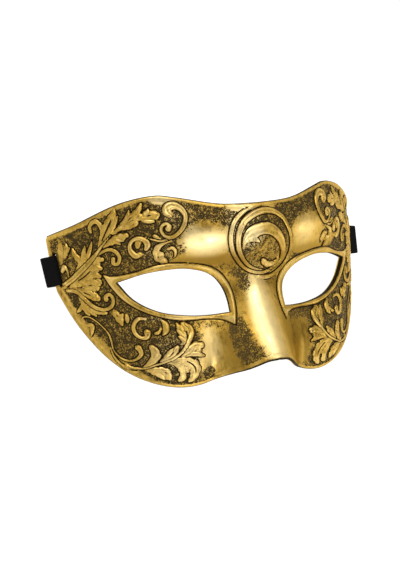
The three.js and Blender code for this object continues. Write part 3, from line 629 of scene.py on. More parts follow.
def paint_stroke(canvas, kind, points, mirror):
    """Lays one stroke over what is already on the canvas."""
    path = smooth_line(points, STROKE_STEP)
    path[:, 2] = np.maximum(path[:, 2], NARROWEST)
    length = len(path) * STROKE_STEP
    s = np.abs(canvas["s"]) if mirror else canvas["s"]
    y = canvas["y"]
    reach = path[:, 2].max() / 2 + LINE_REACH
    low, high = path[:, :2].min(axis=0) - reach, path[:, :2].max(axis=0) + reach
    near = np.nonzero((s > low[0]) & (s < high[0]) & (y > low[1]) & (y < high[1]))[0]
    clearance, distance, half, share = nearest_place(path, s[near], y[near])
    height = section_height(kind, distance, half, share, length)
    if kind == LEAF:
        clearance = clearance + leaf_notches(share, half, length)
    cover = ramp(SOFT_EDGE, -SOFT_EDGE, clearance)
    below = canvas["height"][near]
    mark = outline_mark(clearance) * ramp(0, ROOT_FADE[kind], share)
    mark = np.where(mark > 0, mark * (1 - CREASE_CUT[kind] * ramp(*ON_TOP, below)), mark)
    if kind in MIDDLE_LINE:
        mark = np.maximum(mark, middle_mark(kind, distance, half, share))
    height = np.maximum(height, KEEP_BELOW * below)
    sink = LINE_SINK * np.clip(mark, 0, 1)
    canvas["height"][near] = below * (1 - cover) + height * cover - sink
    canvas["gold"][near] = canvas["gold"][near] * (1 - cover) + cover
    above = np.maximum(canvas["mark"][near], mark)
    canvas["mark"][near] = np.where(clearance < 0, mark, above)


# %% [markdown]
# ## Rims, bare patches, dark patches, painted shade and painted highlights
#
# A rounded rim runs round each eye and ends in a point at both corners. A flatter one
# runs along the outer edge and gets lower under the nose. Between the scrolls the wall is
# dark and speckled. The forehead, the nose and the cheeks beside it were rubbed back to
# gold, with some dark smudges left. Painted shade, laid like a thin brown glaze of wax,
# darkens the gold under the brow, beside the nose, on the cheeks and under the roundel.
# Painted highlights in pale gold lie on the forehead, the nose ridge, the left cheek, the
# roundel and some scrolls. A hand wipes unevenly and light falls unevenly, so these
# patches aren't mirrored. They are soft ellipses here, laid over each other in order, and
# the paint breaks up the edges of the gold ones.

# %% The outer line of the eye rim
RIM_UPPER = [
    (78.9, 4.8), (74.7, 4.1), (63, 6.2), (51.9, 10.2), (43.7, 11.3), (35.3, 10.9),
    (25.1, 8.7), (18.9, 4.9), (15, 0), (13.1, -5), (12.8, -10), (13.4, -15.5), (14.9, -20.8),
]
RIM_LOWER = [
    (14.9, -20.8), (17.1, -19.5), (20.1, -18.4), (27.9, -17.9), (41.2, -18),
    (52.7, -15.7), (61, -12.6), (69.3, -7.3), (74.9, -1.1), (78.9, 4.8),
]
rim_loop = np.concatenate([smooth_line(part, EDGE_STEP)[:-1] for part in (RIM_UPPER, RIM_LOWER)])
eye_distance = distance_finder(eyes[0])
rim_distance = distance_finder(rim_loop)
print("points round the eye rim:", len(rim_loop))

# %% Rim heights
OUTER_RIM_WIDTH, OUTER_RIM_CREST = 2.7, 1.2
OUTER_RIM_EDGE_HEIGHT, OUTER_RIM_HEIGHT = 0.35, 0.65
RIM_FADE, RIM_LEFT_OVER = (12, 32), 0.35
EYE_RIM_EDGE_HEIGHT, EYE_RIM_HEIGHT = 0.5, 1.3
EYE_FIELD_LOW, EYE_FIELD_HIGH = (10, -24), (82, 14)
RIM_BLEND = (-0.1, 0.12)


def outer_rim_height(distance):
    """Height of the outer rim at a distance from the edge."""
    inner = (distance - OUTER_RIM_CREST) / (OUTER_RIM_WIDTH - OUTER_RIM_CREST)
    edge = (OUTER_RIM_CREST - distance) / OUTER_RIM_CREST
    rise = OUTER_RIM_HEIGHT - OUTER_RIM_EDGE_HEIGHT
    falling = OUTER_RIM_HEIGHT * np.sqrt(np.clip(1 - inner**2, 0, 1))
    rising = OUTER_RIM_EDGE_HEIGHT + rise * (1 - edge**2)
    return np.where(distance < OUTER_RIM_CREST, rising, np.where(inner < 1, falling, 0))


def paint_eye_rim(canvas):
    """Lays the rim of both eyes over the canvas."""
    points = np.stack([np.abs(canvas["s"]), canvas["y"]], axis=-1)
    near = np.nonzero(((points > EYE_FIELD_LOW) & (points < EYE_FIELD_HIGH)).all(axis=1))[0]
    points = points[near]
    from_eye, from_rim = eye_distance(points), rim_distance(points)
    inside = inside_loop(rim_loop, points)
    q = (from_eye - from_rim) / (from_eye + from_rim)
    round_top = np.sqrt(np.clip(1 - q**2, 0, 1))
    low = EYE_RIM_EDGE_HEIGHT * (q < 0)
    height = low + (EYE_RIM_HEIGHT - low) * round_top
    cover = np.where(inside, ramp(*RIM_BLEND, from_rim), 0)
    mark = outline_mark(np.where(inside, -from_rim, from_rim))
    sink = LINE_SINK * np.clip(mark, 0, 1)
    canvas["height"][near] = canvas["height"][near] * (1 - cover) + height * cover - sink
    canvas["gold"][near] = np.maximum(canvas["gold"][near] * (1 - cover), cover)
    canvas["mark"][near] = np.where(inside, mark, np.maximum(canvas["mark"][near], mark))


# %% Patches: centre, radii, and the share: of clean gold, of painted shade laid as a glaze, of painted highlight in pale gold
GOLD_PATCHES = [
    ((-100, 13), (12, 12), 0.12), ((100, 13), (12, 12), 0.3), ((-102.6, 13), (1.8, 6), 0.6),
    ((-92, 22), (6, 5), 0), ((-108, 16), (2.2, 6), 0), ((-99, 8), (3, 3), 0.1),
    ((-15, 2), (9, 13), 0.3), ((16, 2), (8, 12), 0.5), ((2, 15), (9, 9), 0.22),
    ((-29, -21), (6, 3), 0.25),
    ((-29.5, 21.5), (12.5, 10), 1.0), ((-30, 13.5), (16, 4), 1.0),
    ((31.5, 21.5), (13, 10), 1.0), ((40, 15), (17, 4.5), 1.0),
    ((-9, 39.2), (9, 2.4), 1.0), ((6, 38.8), (4, 2.2), 0.9), ((-49, 42.4), (5, 1.8), 0.95),
    ((-46.5, 15.5), (2.4, 3), 0.05), ((-40.8, 18.5), (2.2, 3.4), 0.15),
    ((-11, -14), (5, 20), 0.42), ((14, -27), (8, 14), 0.75),
    ((1.5, -18), (9, 22), 1.0),
    ((-24.5, -36), (9, 15.5), 1.0), ((22, -35), (11, 14), 0.75),
    ((-14, -28), (4.6, 11.5), -0.08), ((-9.5, -35.5), (2.5, 1.8), -0.2),
    ((-7, -1.5), (3.2, 3), -0.1), ((-10, 5), (4.5, 3.5), 0.05),
    ((-28.5, -44.5), (3.4, 4.4), -0.1), ((-24, -20.5), (5, 1.6), 0.3),
    ((24, -20.5), (6, 2.4), 0.08), ((33.5, -44), (2.5, 5), 0), ((19, -28), (1.6, 7), 0.25),
    ((10, -1.8), (6, 1.6), 0.35),
]
# Painted shade: a brown glaze that darkens the gold under the brow, beside the nose, on the cheeks
# and under the roundel's tail.
PAINTED_SHADE_PATCHES = [
    ((-29, 12), (22, 3.4), 0.85), ((-14, 2), (7, 13), 0.8), ((-10, -15), (3.6, 17), 0.7),
    ((-17, -30), (5, 15), 0.85), ((33, 12.5), (24, 3.4), 0.6), ((14, 0), (6, 10), 0.75),
    ((13.5, -27), (4.5, 12), 0.85), ((25, -30), (10, 16), 0.7),
    ((20, -35), (4, 14), 0.95), ((-26.5, -38), (3, 6), 0.45),
    ((10, -2), (6, 2), 0.9),
]
# Painted highlights: pale gold on the forehead, the nose ridge, the left cheek, the roundel and some
# scrolls and edges.
PAINTED_HIGHLIGHT_PATCHES = [
    ((-44, -37), (14, 10), 0.38), ((-10, 27), (9, 10), 0.5), ((-43, 36), (7, 7), 0.25),
    ((-52, 18), (6, 7), 0.2),
    ((-29, 22), (11, 6), 0.9), ((-36, 25), (4, 5), 0.8), ((2, -18), (4.5, 19), 0.45),
    ((-2, -17), (4.5, 19), 0.9),
    ((29, 24), (7, 7), 0.3), ((-27.5, -31), (4, 9), 0.4), ((-10, 37), (7, 2.5), 0.6),
    ((-49, 42.4), (5, 1.8), 0.7), ((-45, -17), (20, 1.2), 0.3), ((-5.5, 24), (5.5, 4.5), 0.85),
    ((-16, 26.5), (1.8, 7), 0.75),
]
PATCH_EDGE, SOFT_PATCH_EDGE = 0.35, 0.6
print("gold patches:", len(GOLD_PATCHES), "glazed:", len(PAINTED_SHADE_PATCHES), "pale:", len(PAINTED_HIGHLIGHT_PATCHES))

# %% The canvas, painted from the back to the front
STIPPLE_GAP, STIPPLE_HEIGHT = 0.8, 0.09
# Width of the gold along the outer edge, what the sides add, and what their low half adds.
EDGE_GOLD, EDGE_GOLD_SIDE, EDGE_GOLD_LOW = 1.3, 0.6, 1.4
LOW_ON_MASK, AT_THE_SIDES, GOLD_TO_GROUND = (4, -4), (50, 75), (1.8, 1)


def laid_patches(patches, s, y, soft):
    """Shares of soft ellipses that lie over each other in order."""
    share = np.zeros(len(s))
    for (cs, cy), (rs, ry), amount in patches:
        r = np.hypot((s - cs) / rs, (y - cy) / ry)
        share += (amount - share) * ramp(1 + soft, 1 - soft, r)
    return share


def blank_canvas(points):
    """The bare wall with its patches, before any stroke."""
    s, y = points.T
    gold = laid_patches(GOLD_PATCHES, s, y, PATCH_EDGE)
    # Painted shade, laid as a brown glaze.
    painted_shade_glaze = laid_patches(PAINTED_SHADE_PATCHES, s, y, SOFT_PATCH_EDGE)
    grain = np.array([noise.noise((a / STIPPLE_GAP, b / STIPPLE_GAP, 0)) for a, b in points])
    height = STIPPLE_HEIGHT * grain * (1 - gold)
    # Painted highlights in pale gold.
    painted_highlight = laid_patches(PAINTED_HIGHLIGHT_PATCHES, s, y, SOFT_PATCH_EDGE)
    mark = np.zeros(len(s))
    return dict(s=s, y=y, height=height, gold=gold, painted_shade_glaze=painted_shade_glaze, painted_highlight=painted_highlight, mark=mark)


def painted_canvas(points):
    """The finished front for pattern points: wall, rims, strokes and patches."""
    canvas = blank_canvas(points)
    from_edge = outline_distance(points)
    edge_width = EDGE_GOLD_SIDE + EDGE_GOLD_LOW * ramp(*LOW_ON_MASK, canvas["y"])
    edge_width = EDGE_GOLD + edge_width * ramp(*AT_THE_SIDES, np.abs(canvas["s"]))
    edge_gold = ramp(*GOLD_TO_GROUND, from_edge / edge_width)
    canvas["gold"] = np.maximum(canvas["gold"], edge_gold)
    fade = RIM_LEFT_OVER + (1 - RIM_LEFT_OVER) * ramp(*RIM_FADE, np.abs(canvas["s"]))
    fade = np.where(canvas["y"] < 0, fade, 1)
    canvas["height"] = np.maximum(canvas["height"], outer_rim_height(from_edge) * fade)
    for kind, line in SIDE_STROKES:
        paint_stroke(canvas, kind, line, True)
    for kind, line in ROUNDEL_STROKES:
        paint_stroke(canvas, kind, line, False)
    paint_eye_rim(canvas)
    return canvas


# %% [markdown]
# ## One closed mesh for the shell
#
# The front needs many small triangles where there is relief and few where it is smooth, and
# the back needs fewer still. A constrained Delaunay triangulation joins any cloud of points
# without crossing the edges, so it suits a wall with holes of free shape. Front and back
# share the points along the edges, halfway through the wall, which closes the mesh. Rows of
# points close beside each edge let the edge turn over in a small round.

# %% Fields of points, and rows beside the edges
ROW_ROOM = 0.9


def triangle_grid(gap):
    """Corners of an even field of triangles over the pattern."""
    low, high = outline.min(axis=0), outline.max(axis=0)
    points = []
    for row, y in enumerate(np.arange(low[1], high[1], gap * math.sqrt(0.75))):
        s = np.arange(low[0], high[0], gap) + (row % 2) * gap / 2
        points.append(np.stack([s, np.full(len(s), y)], axis=-1))
    points = np.concatenate(points)
    return points[in_material(points)]


def edge_clearance(points):
    """Distances from points to the nearest of all edges."""
    mirrored_points = np.abs(points * [1, 0]) + points * [0, 1]
    near = [outline_distance(points), eye_distance(mirrored_points)]
    near.extend(find(points) for find in slot_distances)
    return np.min(near, axis=0)


def rows_beside_edges(distances):
    """Points in rows that follow every edge inside the material."""
    rows = []
    for loop in edge_loops:
        along = np.roll(loop, -1, axis=0) - np.roll(loop, 1, axis=0)
        across = np.stack([along[:, 1], -along[:, 0]], axis=-1) / np.hypot(*along.T)[:, None]
        for distance in distances:
            for side in (-1, 1):
                row = loop + across * distance * side
                row = row[in_material(row)]
                rows.append(row[edge_clearance(row) > ROW_ROOM * distance])
    return np.concatenate(rows)


# %% Points of the front and the back
FINE_GAP, SMOOTH_GAP, BACK_GAP = 0.44, 0.8, 1.8
FRONT_ROWS, BACK_ROWS = (0.1, 0.3, 0.65), (0.15, 0.5, 1.2)
FRONT_ROOM, BACK_ROOM = 0.2, 0.6
SMOOTH_FROM = 0.97

edge_points = np.concatenate(edge_loops)
fine_grid = triangle_grid(FINE_GAP)
smooth_grid = triangle_grid(SMOOTH_GAP)
fine_grid = fine_grid[blank_canvas(fine_grid)["gold"] < SMOOTH_FROM]
smooth_grid = smooth_grid[blank_canvas(smooth_grid)["gold"] >= SMOOTH_FROM]
front_grid = np.concatenate([fine_grid, smooth_grid])
front_grid = front_grid[edge_clearance(front_grid) > FRONT_ROWS[-1] + FRONT_ROOM]
back_grid = triangle_grid(BACK_GAP)
back_grid = back_grid[edge_clearance(back_grid) > BACK_ROWS[-1] + BACK_ROOM]
front_points = np.concatenate([rows_beside_edges(FRONT_ROWS), front_grid])
back_points = np.concatenate([rows_beside_edges(BACK_ROWS), back_grid])
print("front points:", len(front_points), "back points:", len(back_points))

# %% Join the points into triangles
NEAR_ZERO = 1e-5


def triangles_between(points):
    """Triangles over the edge points and the given ones, without the holes."""
    cloud = np.concatenate([edge_points, points])
    edges = []
    start = 0
    for loop in edge_loops:
        count = len(loop)
        edges.extend((start + i, start + (i + 1) % count) for i in range(count))
        start += count
    flat = [Vector(p) for p in cloud.tolist()]
    made = geometry.delaunay_2d_cdt(flat, edges, [], 0, NEAR_ZERO)
    corners = np.array([v[:] for v in made[0]])
    faces = np.array(made[2])
    centre = corners[faces].mean(axis=1)
    return corners, faces[in_material(centre)]


front_corners, front_faces = triangles_between(front_points)
back_corners, back_faces = triangles_between(back_points)
edge_count = len(edge_points)
assert np.abs(front_corners[:edge_count] - edge_points).max() < NEAR_ZERO * 10
assert np.abs(back_corners[:edge_count] - edge_points).max() < NEAR_ZERO * 10
print("front triangles:", len(front_faces), "back triangles:", len(back_faces))

# %% Lift the points off the pattern
WALL = 2.0
FRONT_ROUND, BACK_ROUND = 0.65, 0.9
EDGE_LEVEL = -WALL / 2


def rounded_level(level, distance, radius):
    """A level that turns over to the middle of the wall at the edge."""
    t = np.clip(1 - distance / radius, 0, 1)
    return EDGE_LEVEL + (level - EDGE_LEVEL) * np.sqrt(1 - t**2)


def lifted(points, level):
    """Places of pattern points at levels above the wall, none below the floor."""
    s, y = points.T
    places = face_points(s, y) + face_normals(s, y) * level[:, None]
    places[:, 2] = np.maximum(places[:, 2], 0)
    return places


front = painted_canvas(front_corners)
front_edge = edge_clearance(front_corners)
front_edge[:edge_count] = 0
front_places = lifted(front_corners, rounded_level(front["height"], front_edge, FRONT_ROUND))
back_edge = edge_clearance(back_corners)
back_edge[:edge_count] = 0
back_level = rounded_level(np.full(len(back_corners), -WALL), back_edge, BACK_ROUND)
back_places = lifted(back_corners, back_level)
print("highest relief in mm:", round(float(front["height"].max()), 2))

# %% Join front and back
# The dark line at the edges: its mark there, and how slowly it falls away.
EDGE_MARK, EDGE_LINE = 0.8, 2.2
INSIDE_FADE = (0.3, 1.4)

places = np.concatenate([front_places, back_places[edge_count:]])
shift = len(front_corners) - edge_count
back_index = np.where(back_faces < edge_count, back_faces, back_faces + shift)
faces = np.concatenate([front_faces, back_index[:, ::-1]])
front["mark"] = np.maximum(front["mark"], EDGE_MARK - front_edge / EDGE_LINE)
zero = np.zeros(len(back_corners) - edge_count)
shares = {
    "clean_gold": (front["gold"], zero + 1),
    "outline_mark": (front["mark"], zero - 1),
    # The next two shares are painted shade, laid as a brown glaze, and painted highlight in pale
    # gold.
    "painted_shade_glaze": (front["painted_shade_glaze"], zero),
    "painted_highlight": (front["painted_highlight"], zero),
    "inside": (np.zeros(len(front_corners)), ramp(*INSIDE_FADE, back_edge[edge_count:])),
}


# %% Make the shell and store its shares in it
def mesh_object(name, places, faces):
    """A smooth mesh object from places in millimetres."""
    mesh = bpy.data.meshes.new(name)
    mesh.from_pydata((places * MM).tolist(), [], faces.tolist())
    mesh.shade_smooth()
    mesh.update()
    made = bpy.data.objects.new(name, mesh)
    bpy.context.scene.collection.objects.link(made)
    return made


gold_shell = mesh_object("gold_shell", places, faces)
for name, parts in shares.items():
    attribute = gold_shell.data.attributes.new(name, "FLOAT", "POINT")
    attribute.data.foreach_set("value", np.concatenate(parts).astype(np.float32))
print("shell corners:", len(places), "triangles:", len(faces))

# %% [markdown]
# ## Antique gold
#
# The finish is gold lacquer under dark wax that was wiped off. Wax stays as a dark, ragged
# film between the scrolls and as thin lines in the creases. The film is made by comparing
# fine noise with the share of clean gold stored in the mesh: where the share is low, most
# of the noise is under the limit and turns dark. The stored mark gives the dark lines, and
# the pale edges beside them as painted highlights. Two more stored shares give painted
# shade, as a brown glaze, and painted highlights in pale gold.
# Clouds and fine streaks, as a brush leaves them, vary the gold and its gloss. A thin clear
# coat adds the gleam of the lacquer. All patterns sit in the object's own space, so they
# stay on the mask from every side.

# %% Helpers that build a material from nodes
def new_material(name):
    """An empty material with a surface shader: gives the material, its nodes and the shader."""
    material = bpy.data.materials.new(name)
    material.use_nodes = True
    return material, material.node_tree, material.node_tree.nodes["Principled BSDF"]


def fill_inputs(tree, node, inputs):
    """Joins each input of a node to a socket, or sets it to a number or a colour."""
    for key, value in dict(inputs).items():
        if isinstance(value, bpy.types.NodeSocket):
            tree.links.new(value, node.inputs[key])
        else:
            node.inputs[key].default_value = value


def add_node(tree, kind, inputs=(), **settings):
    """Adds a node, sets its options and fills its inputs."""
    made = tree.nodes.new(kind)
    for key, value in settings.items():
        setattr(made, key, value)
    fill_inputs(tree, made, inputs)
    return made


def calculate(tree, operation, *values, **settings):
    """One step of arithmetic on sockets or numbers."""
    settings["operation"] = operation
    return add_node(tree, "ShaderNodeMath", enumerate(values), **settings).outputs[0]


def noise_at(tree, place, size, detail, roughness=0.5):
    """Noise with spots of about the given size in millimetres."""
    inputs = {"Vector": place, "Scale": 1 / (size * MM), "Detail": detail, "Roughness": roughness}
    return add_node(tree, "ShaderNodeTexNoise", inputs).outputs["Fac"]


def soft_step(tree, value, low, high):
    """Rises smoothly from 0 to 1 between two limits."""
    inputs = {"Value": value, "From Min": low, "From Max": high}
    step = add_node(tree, "ShaderNodeMapRange", inputs, interpolation_type="SMOOTHSTEP")
    return step.outputs["Result"]


def mix_colours(tree, share, first, second):
    """A blend of two colours by a share."""
    inputs = {0: share, 6: first, 7: second}
    return add_node(tree, "ShaderNodeMix", inputs, data_type="RGBA").outputs[2]


# %% Colours of the gold and the wax
GOLD_LIGHT = (0.62, 0.40, 0.080, 1)
GOLD_DEEP = (0.44, 0.26, 0.036, 1)
# Gold under painted shade, laid as a brown glaze, and under the smoke of the wax.
GOLD_UNDER_GLAZE_AND_SHADE = (0.25, 0.14, 0.016, 1)
# Pale gold of the painted highlight just inside each stroke outline.
GOLD_EDGE_HIGHLIGHT = (0.84, 0.60, 0.20, 1)
# Pale gold of the painted highlight patches.
GOLD_PAINTED_HIGHLIGHT = (0.92, 0.73, 0.35, 1)
WAX = (0.042, 0.028, 0.010, 1)
WAX_THIN = (0.078, 0.050, 0.015, 1)
WAX_LINE = (0.014, 0.008, 0.002, 1)
INSIDE_GOLD = (0.30, 0.20, 0.07, 1)
GLEAM_TINT = (1, 0.84, 0.48, 1)

# %% What the mesh stores, and noises from coarse to fine
CLOUD_SIZE, PATCH_SIZE, SPECK_SIZE, GRAIN_SIZE, BRUSH_SIZE = 5.0, 2.2, 0.65, 0.35, 0.9
BRUSH_SLANT, BRUSH_STRETCH = (0, 0, 0.5), (1, 0.2, 0.5)

antique_gold, tree, shader = new_material("antique_gold_lacquer")
place = add_node(tree, "ShaderNodeTexCoord").outputs["Object"]


def stored_share(name):
    """Reads a number that was stored in the mesh."""
    return add_node(tree, "ShaderNodeAttribute", attribute_name=name).outputs["Fac"]


clean = stored_share("clean_gold")
mark = stored_share("outline_mark")
inside_share = stored_share("inside")

cloud_noise = noise_at(tree, place, CLOUD_SIZE, 3)
patch_noise = noise_at(tree, place, PATCH_SIZE, 4, 0.6)
speck_noise = noise_at(tree, place, SPECK_SIZE, 3, 0.65)
grain_noise = noise_at(tree, place, GRAIN_SIZE, 2)
slant = {"Vector": place, "Rotation": BRUSH_SLANT, "Scale": BRUSH_STRETCH}
stretched = add_node(tree, "ShaderNodeMapping", slant)
brushed_noise = noise_at(tree, stretched.outputs[0], BRUSH_SIZE, 3)

# %% The ragged film of wax, and smoke where it thins out
PATCH_SHARE, SPECK_SHARE, CLOUDING = 0.35, 0.65, 0.5
FILM_LIMIT, CLEAN_LOWERS_LIMIT = 0.543, -0.3
FILM_EDGE, SMOKE_EDGE = (-0.03, 0.04), (0.02, 0.16)

film_noise = calculate(
    tree, "ADD",
    calculate(tree, "MULTIPLY", patch_noise, PATCH_SHARE),
    calculate(tree, "MULTIPLY", speck_noise, SPECK_SHARE),
)
clouding = calculate(tree, "MULTIPLY", calculate(tree, "SUBTRACT", patch_noise, 0.5), clean)
film_noise = calculate(tree, "MULTIPLY_ADD", clouding, CLOUDING, film_noise)
limit = calculate(tree, "MULTIPLY_ADD", clean, CLEAN_LOWERS_LIMIT, FILM_LIMIT)
over_limit = calculate(tree, "SUBTRACT", film_noise, limit)
gold_share = soft_step(tree, over_limit, *FILM_EDGE)
smoke = calculate(tree, "SUBTRACT", 1.0, soft_step(tree, over_limit, *SMOKE_EDGE))

# %% Dark lines, and pale edges painted as highlights
LINE_RAGGEDNESS, LINE_EDGE = 0.4, (0.4, 0.62)
EDGE_HIGHLIGHT_FROM, EDGE_HIGHLIGHT_TO, EDGE_HIGHLIGHT_SHARE = (-2.2, -1.0), (-0.5, -0.05), 0.6

lowered_mark = calculate(tree, "SUBTRACT", mark, LINE_RAGGEDNESS / 2)
ragged_mark = calculate(tree, "MULTIPLY_ADD", speck_noise, LINE_RAGGEDNESS, lowered_mark)
dark_line = soft_step(tree, ragged_mark, *LINE_EDGE)
gold_share = calculate(tree, "MULTIPLY", gold_share, calculate(tree, "SUBTRACT", 1.0, dark_line))
# A pale band just inside each outline, a painted highlight.
inner_side = soft_step(tree, mark, *EDGE_HIGHLIGHT_FROM)
outer_side = calculate(tree, "SUBTRACT", 1.0, soft_step(tree, mark, *EDGE_HIGHLIGHT_TO))
both_sides = calculate(tree, "MULTIPLY", inner_side, outer_side)
painted_edge_highlight = calculate(tree, "MULTIPLY", both_sides, EDGE_HIGHLIGHT_SHARE)

# %% Mix the colours
DEEP_TO_LIGHT, SMOKE_GLAZE = (0.38, 0.62), 0.6

cloudy = calculate(tree, "MULTIPLY", cloud_noise, 0.5)
cloudy = calculate(tree, "MULTIPLY_ADD", brushed_noise, 0.5, cloudy)
lightness = soft_step(tree, cloudy, *DEEP_TO_LIGHT)
gold_colour = mix_colours(tree, lightness, GOLD_DEEP, GOLD_LIGHT)
# Painted shade, laid as a brown glaze, joined with the smoke where the wax thins.
painted_shade_glaze = stored_share("painted_shade_glaze")
glaze_and_painted_shade = calculate(tree, "MAXIMUM", calculate(tree, "MULTIPLY", smoke, SMOKE_GLAZE), painted_shade_glaze)
gold_colour = mix_colours(tree, glaze_and_painted_shade, gold_colour, GOLD_UNDER_GLAZE_AND_SHADE)
# Painted highlight along the inside of the outlines.
gold_colour = mix_colours(tree, painted_edge_highlight, gold_colour, GOLD_EDGE_HIGHLIGHT)
# Painted highlight patches in pale gold.
gold_colour = mix_colours(tree, stored_share("painted_highlight"), gold_colour, GOLD_PAINTED_HIGHLIGHT)
wax_colour = mix_colours(tree, painted_shade_glaze, WAX, WAX_THIN)
wax_colour = mix_colours(tree, dark_line, wax_colour, WAX_LINE)
front_colour = mix_colours(tree, gold_share, wax_colour, gold_colour)
colour = mix_colours(tree, inside_share, front_colour, INSIDE_GOLD)

# %% Gloss: bright on clean gold, dull on wax
# Each pair below is the value on wax, and what clean gold adds to it.
METAL, GLEAM, ROUGHNESS = (0.2, 0.75), (0.1, 0.4), (0.62, -0.28)
COAT, COAT_ROUGHNESS = 0.2, 0.25
GRAIN_ROUGHNESS, CLOUD_ROUGHNESS = 0.12, 0.9


def by_gold(on_wax, added):
    """A value that changes from wax to clean gold."""
    return calculate(tree, "MULTIPLY_ADD", gold_share, added, on_wax)


metal = by_gold(*METAL)
gleam = by_gold(*GLEAM)
bare = calculate(tree, "SUBTRACT", gold_share, glaze_and_painted_shade, use_clamp=True)
coat = calculate(tree, "MULTIPLY", bare, COAT)
rough = by_gold(*ROUGHNESS)
rough = calculate(tree, "MULTIPLY_ADD", grain_noise, GRAIN_ROUGHNESS, rough)
clouds = calculate(tree, "SUBTRACT", cloudy, 0.5)
rough = calculate(tree, "MULTIPLY_ADD", clouds, CLOUD_ROUGHNESS, rough)

# %% Fine relief of the film, and the finished material
FILM_STEP, SPECK_HEIGHT = 0.5, 0.6
BUMP_STRENGTH, BUMP_DEPTH = 0.35, 0.25

film_height = calculate(tree, "MULTIPLY", gold_share, FILM_STEP)
bump_height = calculate(tree, "MULTIPLY_ADD", speck_noise, SPECK_HEIGHT, film_height)
bump_inputs = {"Strength": BUMP_STRENGTH, "Distance": BUMP_DEPTH * MM, "Height": bump_height}
bump = add_node(tree, "ShaderNodeBump", bump_inputs)
fill_inputs(tree, shader, {
    "Base Color": colour,
    "Metallic": metal,
    "Roughness": rough,
    "Specular IOR Level": gleam,
    "Specular Tint": GLEAM_TINT,
    "Coat Weight": coat,
    "Coat Roughness": COAT_ROUGHNESS,
    "Normal": bump.outputs[0],
})
gold_shell.data.materials.append(antique_gold)
print("nodes in the gold:", len(tree.nodes))

# %% Hand the shell over to the frame
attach(gold_shell, "root")
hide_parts("mask_shell")

# %% [markdown]
# ## The elastic loops
#
# Each loop is one flat woven band that lies behind the wall, comes up round the side edge,
# runs outward to a fold and comes back through the slot. Its middle line is drawn in the
# plane across the slot and its corners are rounded, since elastic bends softly. A flat
# section with fine ribs then follows the line, which gives the cords that a woven band has.

# %% Axes at a temple slot
def slot_axes(side):
    """The slot's centre, and the ways outward, out of the wall and along the slot."""
    s, y = side * SLOT_CENTRE[0], SLOT_CENTRE[1]
    up = (side * math.sin(SLOT_LEAN), math.cos(SLOT_LEAN))
    centre = face_points(np.array([s]), np.array([y]))[0]
    upper = face_points(np.array([s + up[0]]), np.array([y + up[1]]))[0]
    normal = face_normals(np.array([s]), np.array([y]))[0]
    edgeway = (upper - centre) / np.linalg.norm(upper - centre)
    outward = np.cross(edgeway, normal)
    outward /= np.linalg.norm(outward) * np.sign(outward[0] * side)
    return centre, outward, normal, np.cross(outward, normal)


# %% The middle line of the band
BAND_WIDTH, BAND_THICKNESS, BAND_GAP = 15.4, 1.0, 0.65
EDGE_LEG, FOLD_LEAD, FOLD_REACH, FOLD_SPREAD = 5.05, 2.2, 6.3, 0.6
FOLD_FORWARD = 0.15
OVER_EDGE, OVER_SLOT = 0.6, 1.4
BEND_SIZE = 0.9
CORNER_STEPS = 6


def band_line(outward, normal, side):
    """Corners of the band's middle line, as outward and normal distances from the slot."""
    way = lay_back([side * math.cos(FOLD_FORWARD), 0, math.sin(FOLD_FORWARD)])
    sideways = np.array([way @ outward, way @ normal])
    sideways /= np.linalg.norm(sideways)
    lean = np.array([-sideways[1], sideways[0]])
    back = -WALL - BAND_GAP - BAND_THICKNESS / 2
    fold = np.array([FOLD_LEAD, 0]) + sideways * FOLD_REACH
    return [
        np.array([0, back]),
        np.array([EDGE_LEG, back]),
        np.array([EDGE_LEG, OVER_EDGE]),
        fold - lean * FOLD_SPREAD,
        fold + lean * FOLD_SPREAD,
        np.array([0, OVER_SLOT]),
    ]


def rounded_ring(corners, size):
    """A closed line whose corners are replaced by soft bends."""
    ring = []
    befores, afters = corners[-1:] + corners[:-1], corners[1:] + corners[:1]
    for before, corner, after in zip(befores, corners, afters):
        to_before, to_after = before - corner, after - corner
        reach_before = min(size, np.linalg.norm(to_before) * 0.5) / np.linalg.norm(to_before)
        reach_after = min(size, np.linalg.norm(to_after) * 0.5) / np.linalg.norm(to_after)
        first, last = corner + to_before * reach_before, corner + to_after * reach_after
        for t in np.linspace(0, 1, CORNER_STEPS + 1):
            ring.append(first * (1 - t) ** 2 + corner * 2 * t * (1 - t) + last * t**2)
    return np.array(ring)


def even_ring(ring, step):
    """The same closed line with evenly spaced points."""
    closed = np.concatenate([ring, ring[:1]])
    length = length_along(closed)
    count = round(length[-1] / step)
    return points_at(closed, length, np.linspace(0, length[-1], count, endpoint=False))


# %% The ribbed section of the band
RIB_WIDTH, RIB_HEIGHT, RIB_ROUNDNESS = 1.0, 0.07, 0.6
POINTS_PER_RIB = 6
EDGE_POINTS = 5


def band_section():
    """Places across the band: along its width, and above or below its middle."""
    half = BAND_WIDTH / 2
    flat = half - BAND_THICKNESS / 2
    across = np.linspace(-flat, flat, int(2 * flat / RIB_WIDTH) * POINTS_PER_RIB + 1)
    rib = np.abs(np.sin(np.pi * (across + flat) / RIB_WIDTH)) ** RIB_ROUNDNESS
    above = BAND_THICKNESS / 2 - RIB_HEIGHT * (1 - rib)
    turn = np.linspace(-math.pi / 2, math.pi / 2, EDGE_POINTS + 2)[1:-1]
    radius = BAND_THICKNESS / 2 - RIB_HEIGHT
    right = np.stack([flat + radius * np.cos(turn), -radius * np.sin(turn)], axis=-1)
    top = np.stack([across, above], axis=-1)
    return np.concatenate([top, right, -top, -right])


# %% Make both loops
BAND_STEP = 0.35


